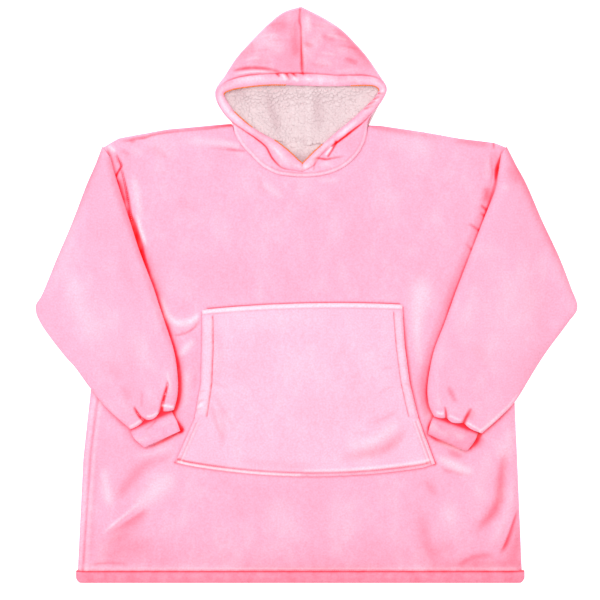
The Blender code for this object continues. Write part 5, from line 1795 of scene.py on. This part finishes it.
@dataclass
class BackPanel:
    """The back, which lies on the floor, and the patch of lining that shows inside the neck."""

    shape: BodyShape
    shop: Workshop
    inset: float = 5.0
    patch_skip: int = 2
    side_columns: int = 12

    def build(self) -> None:
        """Builds the back panel and its lining patch."""
        ends = [column(table, 2)[:8] for table in (HOOD_R, HOOD_L)]
        curve = np.concatenate([ends[0][::-1], ends[1][1:]])
        ring = np.concatenate([[SHOULDER_R[-1]], refine(curve, 4), [SHOULDER_L[0]]])
        front_ring = refine(np.array(NECKLINE, float), 6)
        place = np.linspace(0.0, 1.0, len(front_ring))
        share = np.linspace(0.06, 0.94, len(ring))
        yoke = np.stack([np.interp(share, place, front_ring[:, axis]) for axis in (0, 1)], axis=1)
        centre = np.array([-8.0, 338.0])
        yoke += self.inset * (centre - yoke) / np.hypot(*(centre - yoke).T)[:, None]
        side, middle = self.side_columns, len(ring) - 1
        counts = (side, middle, side)
        rows: list[Grid] = []
        for y, half in ((self.shape.hem_y, 250.0), (-60.0, 190.0)):
            edges = float(self.shape.edge_x(y, True)), float(self.shape.edge_x(y, False))
            row = self.shape.panel_row(((edges[0], y), (-half, y), (half, y), (edges[1], y)), counts)
            rows.extend(blend(rows[-1], row, 24) if rows else [row])
        edges = float(self.shape.edge_x(225.0, True)), float(self.shape.edge_x(225.0, False))
        right = along((edges[0], 225.0), tuple(yoke[0]), side)[:-1]
        left = along(tuple(yoke[-1]), (edges[1], 225.0), side)[1:]
        rows.extend(blend(rows[-1], np.concatenate([right, yoke, left]), 12))
        patch_row = len(rows) - 1
        right = self.shape.shoulder(SHOULDER_R, side)[:-1]
        left = self.shape.shoulder(SHOULDER_L, side)[1:]
        rows.extend(blend(rows[-1], np.concatenate([right, ring, left]), 14))
        plan = np.array(rows)
        x, y = plan[..., 0], plan[..., 1]
        away = -self.shape.beyond(x, y)
        rounding = 1.6 * (1.0 - ease(away / 8.0))
        top = with_height(plan, self.shape.wall - 0.1 - rounding)
        base = with_height(plan, rounding)
        wall = ClothWall("back", top, base, coarse=1)
        sewn = self.shop.stitching.sew("back_stitches", [base[:, 1], base[:, -2]])
        self.shop.settle(wall, self.shop.front, "back_panel", (0.91, 0.9, Held.LAID), extras=(sewn,))
        first = side + self.patch_skip
        patch = top[patch_row:, first:-first] + np.array([0.0, 0.0, GAP + 0.1])
        self._patch(patch)

    def _patch(self, base: Grid) -> None:
        """Builds the patch of lining inside the neck.

        Args:
            base: The hidden face's points.
        """
        x, y = base[..., 0], base[..., 1]
        top = base.copy()
        top[..., 2] += 2.6 + 0.7 * lumps(x, y, 9.0, 61) + 0.5 * lumps(x, y, 30.0, 62)
        # Painted shade, darker towards the front's neckline, over random mottle.
        deep = np.clip(0.1 + 0.2 * lumps(x, y, 26.0, 63) + 0.9 * ease((294.0 - y) / 26.0), 0.0, 1.0)
        wall = ClothWall("neck_lining", top, base, deep=deep, coarse=1)
        tufts, cut = self.shop.curls.plant("neck_tufts", top, deep), (0.25, 0.1, Held.LAID)
        self.shop.settle(wall, self.shop.lining, "back_lining", cut, ("back",), grid_area(base), (tufts,))


@dataclass
class Hem:
    """The turned hem along the foot of the body, a front strip on a back one."""

    shape: BodyShape
    shop: Workshop
    foot_y: float = -577.0
    right_x: float = -461.0
    left_x: float = 436.0
    end_round: float = 9.0
    puff: float = 4.6

    def build(self) -> None:
        """Builds both strips."""
        self._strip("hem_back_roll", "hem_back", 0.0, False)
        self._strip("hem_front_roll", "hem_front", self.shape.front_base, True)

    def _strip(self, name: str, node: str, floor: float, puffed: bool) -> None:
        """Builds one strip.

        Args:
            name: What it is called.
            node: Node it replaces.
            floor: Height of its underside.
            puffed: Whether it bulges.
        """
        across = np.linspace(0.0, 1.0, 401)
        down = np.linspace(0.0, 1.0, 17)
        x = self.right_x + (self.left_x - self.right_x) * across
        from_end = np.minimum(x - self.right_x, self.left_x - x)
        foot = self.foot_y + self.end_round * np.clip(1.0 - from_end / self.end_round, 0.0, 1.0) ** 2
        top_y = self.shape.hem_y - SEAM_GAP
        y = top_y + (foot[None, :] - top_y) * down[:, None]
        plan = np.stack([np.broadcast_to(x, y.shape), y], axis=-1)
        grid_x, shape = plan[..., 0], np.sin(math.pi * (0.06 + 0.88 * down))[:, None] ** 0.75
        ends = 0.35 + 0.65 * ease(from_end / 20.0)[None, :]
        wave = lumps(grid_x, y * 0.4, 21.0, 71) + 0.6 * lumps(grid_x, y, 9.0, 72)
        height = floor + self.shape.wall - 0.2 - 2.0 * (1.0 - shape) + 0.0 * grid_x
        if puffed:
            height = floor + 3.0 + (self.puff + 3.4 + 0.9 * wave) * shape * ends
        base = np.full(height.shape, floor) + (1.2 * (1.0 - shape) if not puffed else 0.0)
        # Painted shade: a line at the hem's seam, the whole hem a little darker and its dips; painted
        # highlight on its lobes.
        line = bell(down[:, None], 0.09) * np.ones(grid_x.shape)
        deep = 0.6 * line + 0.41 + 0.12 * np.clip(-wave, 0.0, 1.0)
        pale = 0.1 * np.clip(wave, 0.0, 1.0) * shape
        wall = ClothWall(name, with_height(plan, height), with_height(plan, base), deep=deep, pale=pale)
        cut = (0.9, 0.035, Held.FOLDED)
        self.shop.settle(wall, self.shop.front, node, cut, ("back",), 0.9 * 0.028)


@dataclass(frozen=True)
class Gather:
    """A place where the end of a sleeve is drawn in.

    Attributes:
        place: Where it lies across the end, from the outer edge to the inner one.
        depth: How far the end is drawn back there.
        width: Half its width, as a share of the end.
    """

    place: float
    depth: float
    width: float


@dataclass
class Sleeve:
    """A flattened sleeve that lies half on the body and half on the floor, with its cuff."""

    side: Side
    shape: BodyShape
    shop: Workshop
    rows: tuple
    cuff_rows: tuple
    relief: Relief
    gathers: tuple[Gather, ...]
    height: float = 15.2
    round_reach: float = 27.0
    wall: float = 2.2
    across: int = 100
    under: int = 24
    end_rows: int = 44

    def build(self) -> None:
        """Builds the sleeve and its cuff."""
        name = self.side.name.lower()
        table = refine(np.array(self.rows, float), 32)
        table = np.concatenate([table[:256:2], table[256:]])
        outer, inner = self._loops(table, self.height, self.round_reach, self.wall)
        self._draw_in(outer, inner)
        top = self.across + 1
        x, y = outer[..., 0], outer[..., 1]
        up, deep, pale = self.relief.on(x, y)
        width = np.hypot(*(table[:, 1] - table[:, 0]).T)[:, None]
        f = self._fractions(self.across)[None, :]
        edge = np.minimum(f, 1.0 - f) * width
        raised, shown = np.zeros(x.shape), np.zeros(x.shape)
        raised[:, :top] = ease(edge / 14.0)
        shown[:, :top] = 1.0
        outer[..., 2] += up * raised
        inner[..., 2] += np.minimum(up * raised, 0.0)
        # Painted shade over the sleeve's underside and along the edges of its top.
        rim = np.full(x.shape, 0.4)
        rim[:, :top] = 0.12 * bell(edge, 5.0)
        outer[..., 2] += self.shape.support(x, y)
        inner[..., 2] += self.shape.support(inner[..., 0], inner[..., 1])
        deep = np.clip(deep * shown + rim, 0.0, 2.0)
        wall = ClothWall(f"sleeve_{name}_cloth", outer, inner, wrap=True, deep=deep, pale=pale * shown)
        cut = (0.56, 0.66, Held.FOLDED)
        self.shop.settle(wall, self.shop.front, f"sleeve_{name}", cut, ("front", "back"))
        self._cuff(name)

    @staticmethod
    def _fractions(count: int) -> Grid:
        """Returns places across a face, closer together at the edges."""
        even = np.linspace(0.0, 1.0, count + 1)
        return 0.4 * even + 0.6 * (0.5 - 0.5 * np.cos(math.pi * even))

    def _loops(self, table: Grid, height: float, reach: float, wall: float) -> tuple[Grid, Grid]:
        """Returns the outer and inner loops of a flattened tube, from its outer and inner edges.

        Args:
            table: Rows of its edge points.
            height: How high it is.
            reach: How far each edge rolls over.
            wall: How thick the wall is.

        Returns:
            Both loops, one row a station.
        """
        start, stop = table[:, 0][:, None, :], table[:, 1][:, None, :]
        width = np.linalg.norm(stop - start, axis=-1)
        front = self._fractions(self.across)[None, :]
        back = self._fractions(self.under)[None, ::-1][:, 1:-1]
        found = []
        for shrink, thin in ((0.0, 0.0), (wall, wall)):
            loops = []
            for share, top in ((front, True), (back, False)):
                edge = np.minimum(share, 1.0 - share) * width
                near = np.clip(edge / np.minimum(reach if top else 16.0, 0.5 * width), 0.0, 1.0)
                swell = (1.0 - (1.0 - near) ** 2.2) ** 0.5
                middle = 0.42 * height
                if top:
                    z = middle + (height - middle - thin) * swell
                else:
                    z = middle - (middle - thin) * swell
                inset = shrink / width
                place = inset + (1.0 - 2.0 * inset) * share
                plan = start + (stop - start) * place[..., None]
                loops.append(with_height(plan, z))
            found.append(np.concatenate(loops, axis=1))
        return found[0], found[1]

    def _draw_in(self, outer: Grid, inner: Grid) -> None:
        """Draws the sleeve's end back at its gathers and rounds it down to the cuff.

        Args:
            outer: Outer points, changed in place.
            inner: Inner points.
        """
        back = self._fractions(self.under)[::-1][1:-1]
        f = np.concatenate([self._fractions(self.across), back])
        depth = np.zeros(f.shape)
        for gather in self.gathers:
            off = np.abs((f - gather.place) / gather.width)
            depth = np.maximum(depth, gather.depth * np.exp(-(off**1.4)))
        last = len(outer) - 1
        axis = (outer[-1] - outer[-20]).mean(axis=0)
        axis[2] = 0.0
        axis /= np.linalg.norm(axis)
        middle = 0.42 * self.height
        for row in range(last - self.end_rows, last + 1):
            share = ((row - last + self.end_rows) / self.end_rows) ** 2
            pull = axis[None, :] * (share * depth)[:, None]
            close = 1.0 - 0.42 * max(0.0, (row - last + 9) / 9.0) ** 2
            for face in (outer, inner):
                face[row] -= pull
                face[row, :, 2] = middle + (face[row, :, 2] - middle) * close

    def _cuff(self, name: str) -> None:
        """Builds the cuff, whose first row is tucked inside the sleeve.

        Args:
            name: What it is called.
        """
        table = refine(np.array(self.cuff_rows, float), 12)
        outer, inner = self._loops(table, 10.0, 11.0, 1.8)
        count = len(table)
        tuck = 0.42 + 0.58 * ease((np.arange(count) - 5) / 12.0)
        middle = 4.6
        for loops in (outer, inner):
            loops[..., 2] = middle + (loops[..., 2] - 4.2) * tuck[:, None]
        x, y = outer[..., 0], outer[..., 1]
        top = self.across + 1
        wave = np.zeros(x.shape)
        wave[:, :top] = 0.5 * lumps(x[:, :top], y[:, :top], 12.0, 81)
        outer[..., 2] += wave + self.shape.support(x, y)
        inner[..., 2] += np.minimum(wave, 0.0) + self.shape.support(inner[..., 0], inner[..., 1])
        place = np.arange(count)[:, None] * np.ones(x.shape)
        # Painted shade: where the cuff is tucked under the sleeve's end, in a fold, in its dips and along its
        # end.
        fold = Crease(((-295, -247, 2, 0.6), (-310, -262, 2.4, 1), (-325, -271, 2, 0.5))).share(x, y)
        deep = 1.25 * ease((18.0 - place) / 11.0) + 0.1 * np.clip(-wave * 2.0, 0.0, 1.0) + 0.35 * fold
        deep = deep + 0.15 * bell(count - 1 - place, 2.4)
        # Each cuff a little darker as a whole, painted shade.
        deep += 0.13 if self.side is Side.RIGHT else 0.3
        # Painted highlight in a band across the cuff.
        pale = 0.35 * bell(place - 25.0, 5.0) * ease(lumps(x, y, 26.0, 83) + 0.5)
        deep = np.clip(deep, 0, 2)
        wall = ClothWall(f"cuff_{name}_cloth", outer, inner, wrap=True, deep=deep, pale=pale)
        self.shop.settle(wall, self.shop.cuff, f"cuff_{name}", (0.2, 0.062, Held.GATHERED), ("front",))


@dataclass
class HoodHalf:
    """Half of the hood: its crown and side above, folded round to the layer that lies underneath."""

    side: Side
    shop: Workshop
    table: tuple
    relief: Relief
    wall: float = 2.6
    pieces: int = 16
    top_columns: int = 60
    fold_columns: int = 8
    under_columns: int = 20
    reach: float = 6.0
    bulge: float = 3.0
    lined: int = 9
    lining_rise: float = 9.0

    def build(self) -> None:
        """Builds the half and its lining."""
        name = self.side.name.lower()
        outer, inner, away = self._faces()
        x, y = outer[..., 0], outer[..., 1]
        top = self.top_columns + 1
        up, deep, pale = self.relief.on(x, y)
        share = np.linspace(0.0, 1.0, top)[None, :]
        free, shown = np.zeros(x.shape), np.zeros(x.shape)
        free[:, :top] = ease((1.0 - share) * 5.0) * ease(away[:, :top] / 5.0)
        shown[:, : top + 4] = 1.0
        outer[..., 2] += up * free
        inner[..., 2] += up * free
        # Painted shade: a red line along the brim seam.
        strength = refine(column(self.table, 7)[:, None], self.pieces)
        near = away[:, :top]
        wide = 1.9 * (1.0 + 0.6 * np.maximum(strength - 1.1, 0.0))
        line = strength * (bell(near, wide) + 0.06 * bell(near, 10.0))
        outer[:, :top, 2] -= 1.4 * bell(near, 3.0)
        deep = deep * shown
        # The crown also grows darker towards its top.
        deep[:, :top] += line + 0.2 * ease((y[:, :top] - 425.0) / 30.0)
        # Painted shade over the under layer beneath the hood.
        deep[:, top + 4 :] = 0.35
        deep = np.clip(deep, 0, 2)
        wall = ClothWall(f"hood_{name}_cloth", outer, inner, deep=deep, pale=pale * shown)
        self.shop.settle(wall, self.shop.hood, f"hood_{name}", (0.36, 0.42, Held.FOLDED), ("back",))
        self._lining(name, inner)

    def _faces(self) -> tuple[Grid, Grid, Grid]:
        """Returns the outer face, the inner face and the distance from the brim seam."""
        sections = [self._section(number, station) for number, station in enumerate(self.table)]
        outer, inner, away = (refine(np.array(rows), self.pieces) for rows in zip(*sections))
        for face in (outer, inner):
            face[..., 2] = np.maximum(face[..., 2], 0.0)
            face[0, :, 0] += 0.5 * self.side.value * SEAM_GAP
            face[-1, :, 0] += 0.5 * self.side.value * SEAM_GAP
        inner[..., 2] = np.maximum(inner[..., 2], outer[..., 2].min())
        return outer, inner, away

    def _section(self, number: int, station: tuple) -> tuple[Grid, Grid, Grid]:
        """Returns outer points, inner points and distance from the brim seam at one station.

        Args:
            number: Which station it is.
            station: The station's row of the table.

        Returns:
            The two rows and the distance.
        """
        face, fold, end = (np.array(point, float) for point in station[:3])
        face_z, fold_z, under_z = station[4:7]
        if number > 9:
            fold = fold + NECK_GAP * (face - fold) / np.hypot(*(face - fold))
        if number < self.lined:
            end = end + np.array([0.0, SEAM_GAP])
        length = float(np.hypot(*(fold - face)))
        way = (fold - face) / length
        reach = min(self.reach, 0.9 * length)
        middle = fold - way * reach
        half = 0.5 * (fold_z - under_z)
        share = np.linspace(0.0, 1.0, self.top_columns + 1)[:-1]
        raised = self.bulge * np.sin(math.pi * share) * min(1.0, length / 60.0)
        height = face_z + (fold_z - face_z) * share + raised
        top = with_height(along(tuple(face), tuple(middle), self.top_columns)[:-1], height)
        angle = np.linspace(0.5 * math.pi, -0.5 * math.pi, self.fold_columns + 1)
        out = 0.3 * np.cos(angle) + 0.7 * (1.0 - np.abs(angle) / (0.5 * math.pi))
        turn = middle + out[:, None] * way * reach
        turn_in = middle + out[:, None] * way * (reach - self.wall)
        turn = with_height(turn, under_z + half + half * np.sin(angle))
        turn_in = with_height(turn_in, under_z + half + (half - self.wall) * np.sin(angle))
        under = with_height(along(tuple(middle), tuple(end), self.under_columns)[1:], under_z)
        up = np.array([0.0, 0.0, self.wall])
        turned, below = np.full(len(angle), length - reach), np.full(len(under), length)
        run = np.concatenate([share * (length - reach), turned, below])
        return np.concatenate([top, turn, under]), np.concatenate([top - up, turn_in, under + up]), run

    def _lining(self, name: str, inner: Grid) -> None:
        """Builds the lining on the under layer.

        Args:
            name: What it is called.
            inner: Inner points.
        """
        rows = (self.lined - 1) * self.pieces + 1
        base = inner[:rows:2, self.top_columns + self.fold_columns :].copy()
        step = base[:, 1:2] - base[:, :1]
        base[:, 0] += 0.3 * step[:, 0]
        base[..., 2] += GAP + 0.1
        x, y = base[..., 0], base[..., 1]
        top = base.copy()
        soft = 1.2 * lumps(x, y * 0.5, 34.0, 91) + 0.7 * lumps(x, y, 9.0, 92)
        top[..., 2] += 3.0 + 0.6 * soft + 1.6 * bell(x - 5.0, 7.0)
        # Painted shade with random mottle, less along the raised centre ridge as a painted highlight, more in
        # the painted shade bands.
        deep = 0.2 + 0.14 * lumps(x, y * 0.35, 42.0, 93) - 0.3 * bell(x - 5.0, 4.0)
        for crease in LINING_CREASES:
            deep = deep + crease.deep * crease.share(x, y)
        within = -away_from(x, y, MOUTH)
        rise = self.lining_rise + 6.0 * ease((y - 372.0) / 34.0) * ease((138.0 - np.abs(x + 8.0)) / 40.0)
        top[..., 2] += rise * (1.0 - ease((within - 6.0) / 44.0)) * ease((within + 2.0) / 8.0)
        deep = np.clip(deep, 0.0, 0.95)
        wall = ClothWall(f"hood_lining_{name}_pile", top, base, deep=deep, coarse=1)
        tufts = self.shop.curls.plant(f"hood_{name}_tufts", top, deep)
        below, node, cut = (f"hood_{name}_cloth",), f"hood_lining_{name}", (0.26, 0.27, Held.LAID)
        self.shop.settle(wall, self.shop.lining, node, cut, below, grid_area(base), (tufts,))


@dataclass
class Brim:
    """The casing round the mouth of the hood, an open strip whose ends meet at the throat."""

    shop: Workshop
    above: float = 2.6
    below: float = 6.4
    shade: float = 0.1
    pieces: int = 14
    around: int = 32

    def build(self) -> None:
        """Builds the casing."""
        table = HOOD_R[::-1] + HOOD_L[1:]
        face, mouth, face_z, line = (column(table, place) for place in (0, 3, 4, 7))
        way = (mouth - face) / np.hypot(*(mouth - face).T)[:, None]
        start = face + way * SEAM_GAP
        rows = refine(np.concatenate([start, mouth, face_z[:, None], line[:, None]], axis=1), self.pieces)
        start, mouth, face_z, line = rows[:, :2], rows[:, 2:4], rows[:, 4], rows[:, 5:]
        angle = np.linspace(0.0, 2.0 * math.pi, self.around, endpoint=False)
        round_x = np.sign(np.cos(angle)) * np.abs(np.cos(angle)) ** 0.75
        round_z = np.sign(np.sin(angle)) * np.abs(np.sin(angle)) ** 0.8
        outer, inner = [], []
        for scale_x, scale_z, target in ((1.0, 1.0, outer), (0.74, 0.4, inner)):
            for a, b in zip(0.5 + 0.5 * scale_x * round_x, 0.5 + 0.5 * scale_z * round_z):
                plan = start + (mouth - start) * a
                target.append(with_height(plan, face_z - self.below + (self.above + self.below) * b))
        outer_face, inner_face = np.stack(outer, axis=1), np.stack(inner, axis=1)
        x, y = outer_face[..., 0], outer_face[..., 1]
        folds = BRIM_CREASES + THROAT_CREASES
        up, deep, pale = Relief(folds, soft=0.4, fine=0.8, mottle=0.5, seed=51).on(x, y)
        facing = ease((0.5 + 0.5 * round_z - 0.35) / 0.4)[None, :]
        outer_face[..., 2] += up * facing
        inner_face[..., 2] += np.minimum(up, 0.0) * facing * 0.4
        across = (0.5 + 0.5 * round_x)[None, :]
        # Painted shade: the red line along the brim seam, the sides that face away from the top, and a little
        # over the whole casing.
        deep = deep * facing + 0.9 * line * bell(across, 0.065) + 0.25 * (1.0 - facing)
        deep = deep + self.shade
        # Painted highlight along the top of the casing.
        pale = pale + 0.3 * facing * bell(across - 0.5, 0.25)
        for rows_of in (outer_face, inner_face):
            rows_of[0, :, 0] -= 0.5 * SEAM_GAP
            rows_of[-1, :, 0] += 0.5 * SEAM_GAP
        deep, pale = np.clip(deep, 0.0, 2.0), np.clip(pale, 0.0, 1.0)
        wall = ClothWall("brim_casing", outer_face, inner_face, wrap=True, deep=deep, pale=pale)
        edge = outer_face[:, 0] + np.array([0.0, 0.0, 2.4])
        paths = [edge[self.pieces * a : self.pieces * b + 1] for a, b in EDGE_THREAD]
        sewn = self.shop.edging.sew("brim_stitches", paths)
        below, cut = ("hood_right_cloth", "hood_left_cloth"), (1.02, 0.062, Held.FOLDED)
        self.shop.settle(wall, self.shop.hood, "hood_band", cut, below, extras=(sewn,))


@dataclass(frozen=True)
class FloorFinish(Finish):
    """Plain pale floor that glows a little."""

    def surface(self, board: Board, place: Socket) -> dict:
        """Returns what goes into the surface's inputs."""
        glow = {"Emission Color": (1.0, 1.0, 1.0, 1.0), "Emission Strength": 0.6}
        return {"Base Color": (*self.base, 1.0), "Roughness": 0.9, "Specular IOR Level": 0.1, **glow}


@dataclass
class Studio:
    """Pale floor, soft overhead light and the camera straight above."""

    lens: float = 85.0
    sensor: float = 36.0
    height: float = 2.845
    centre: tuple[float, float] = (-0.013, -0.011)

    def build(self) -> None:
        """Builds the floor, the lights and the camera."""
        half, low = 6000.0, -0.6
        corners = np.array([(-half, -half, low), (half, -half, low), (half, half, low), (-half, half, low)])
        floor = add_mesh("floor", corners, [], [(0, 1, 2, 3)])
        floor.data.materials.append(FloorFinish("pale floor", (0.93, 0.93, 0.93)).material())
        self._lamp("overhead", (0.0, 0.5, 3.2), 3.0, 62.0)
        self._lamp("side fill", (-2.4, 0.6, 2.2), 2.0, 24.0)
        world = bpy.data.worlds.new("studio")
        bpy.context.scene.world = world
        world.use_nodes = True
        sky = {"Color": (1.0, 1.0, 1.0, 1.0), "Strength": 0.62}
        Board(world.node_tree).feed(world.node_tree.nodes["Background"], sky)
        data = bpy.data.cameras.new("camera")
        data.lens = self.lens
        data.sensor_width = self.sensor
        camera = bpy.data.objects.new("camera", data)
        camera.location = (self.centre[0], self.centre[1], self.height)
        bpy.context.scene.collection.objects.link(camera)
        bpy.context.scene.camera = camera
        bpy.context.scene.view_settings.view_transform = "Standard"

    @staticmethod
    def _lamp(name: str, place: tuple[float, float, float], size: float, power: float) -> None:
        """Adds a soft square lamp that points at the middle of the floor.

        Args:
            name: What it is called.
            place: Where it is.
            size: Its width in metres.
            power: Its power in watts.
        """
        data = bpy.data.lights.new(name, "AREA")
        data.size = size
        data.energy = power
        lamp = bpy.data.objects.new(name, data)
        lamp.location = place
        lamp.rotation_euler = (-Vector(place)).to_track_quat("-Z", "Y").to_euler()
        bpy.context.scene.collection.objects.link(lamp)


def hood_relief(side: Side) -> Relief:
    """Returns the folds of a hood half, with the rolled seam along the neckline, its painted shade and its
    painted highlight.

    Args:
        side: The wearer's side.

    Returns:
        The relief.
    """
    # Painted shade lines along the neck ring and the groove, and a painted highlight on the roll between
    # them.
    seam = (
        crease_along(NECK_RING, (1.8, 1.8), (0.3, 0.12, 0.1, 0.12, 0.3), deep=1.0),
        crease_along(offset_path(NECK_RING, -3.8), (2.6, 2.8), (0.5, 0.8, 1.0, 0.8, 0.5), 0.4, pale=0.45),
        crease_along(offset_path(NECK_RING, -7.6), (1.8, 1.8), (0.3, 1.0, 0.9, 1.0, 0.3), -0.6, 0.28),
    )
    if side is Side.RIGHT:
        return Relief(CROWN_CREASES_R + seam, mottle=0.28, seed=121)
    return Relief(CROWN_CREASES_L + THROAT_CREASES + seam, mottle=0.28, seed=131)


def main() -> None:
    """Builds the garment piece by piece and reports each."""
    logging.basicConfig(level=logging.INFO, format="%(name)s: %(message)s")
    Studio().build()
    shop = Workshop()
    shape = BodyShape()
    BackPanel(shape, shop).build()
    Hem(shape, shop).build()
    front = FrontPanel(shape, shop)
    front.build()
    Pocket(front, shop).build()
    right_end = (Gather(0.35, 6.0, 0.1), Gather(0.75, 10.0, 0.11))
    left_end = (Gather(0.42, 8.0, 0.11), Gather(0.77, 6.0, 0.08))
    right_relief, left_relief = Relief(SLEEVE_CREASES_R, seed=101), Relief(SLEEVE_CREASES_L, seed=111)
    Sleeve(Side.RIGHT, shape, shop, SLEEVE_R, CUFF_R, right_relief, right_end).build()
    Sleeve(Side.LEFT, shape, shop, SLEEVE_L, CUFF_L, left_relief, left_end).build()
    HoodHalf(Side.RIGHT, shop, HOOD_R, hood_relief(Side.RIGHT)).build()
    HoodHalf(Side.LEFT, shop, HOOD_L, hood_relief(Side.LEFT)).build()
    Brim(shop).build()


if __name__ == "__main__":
    main()
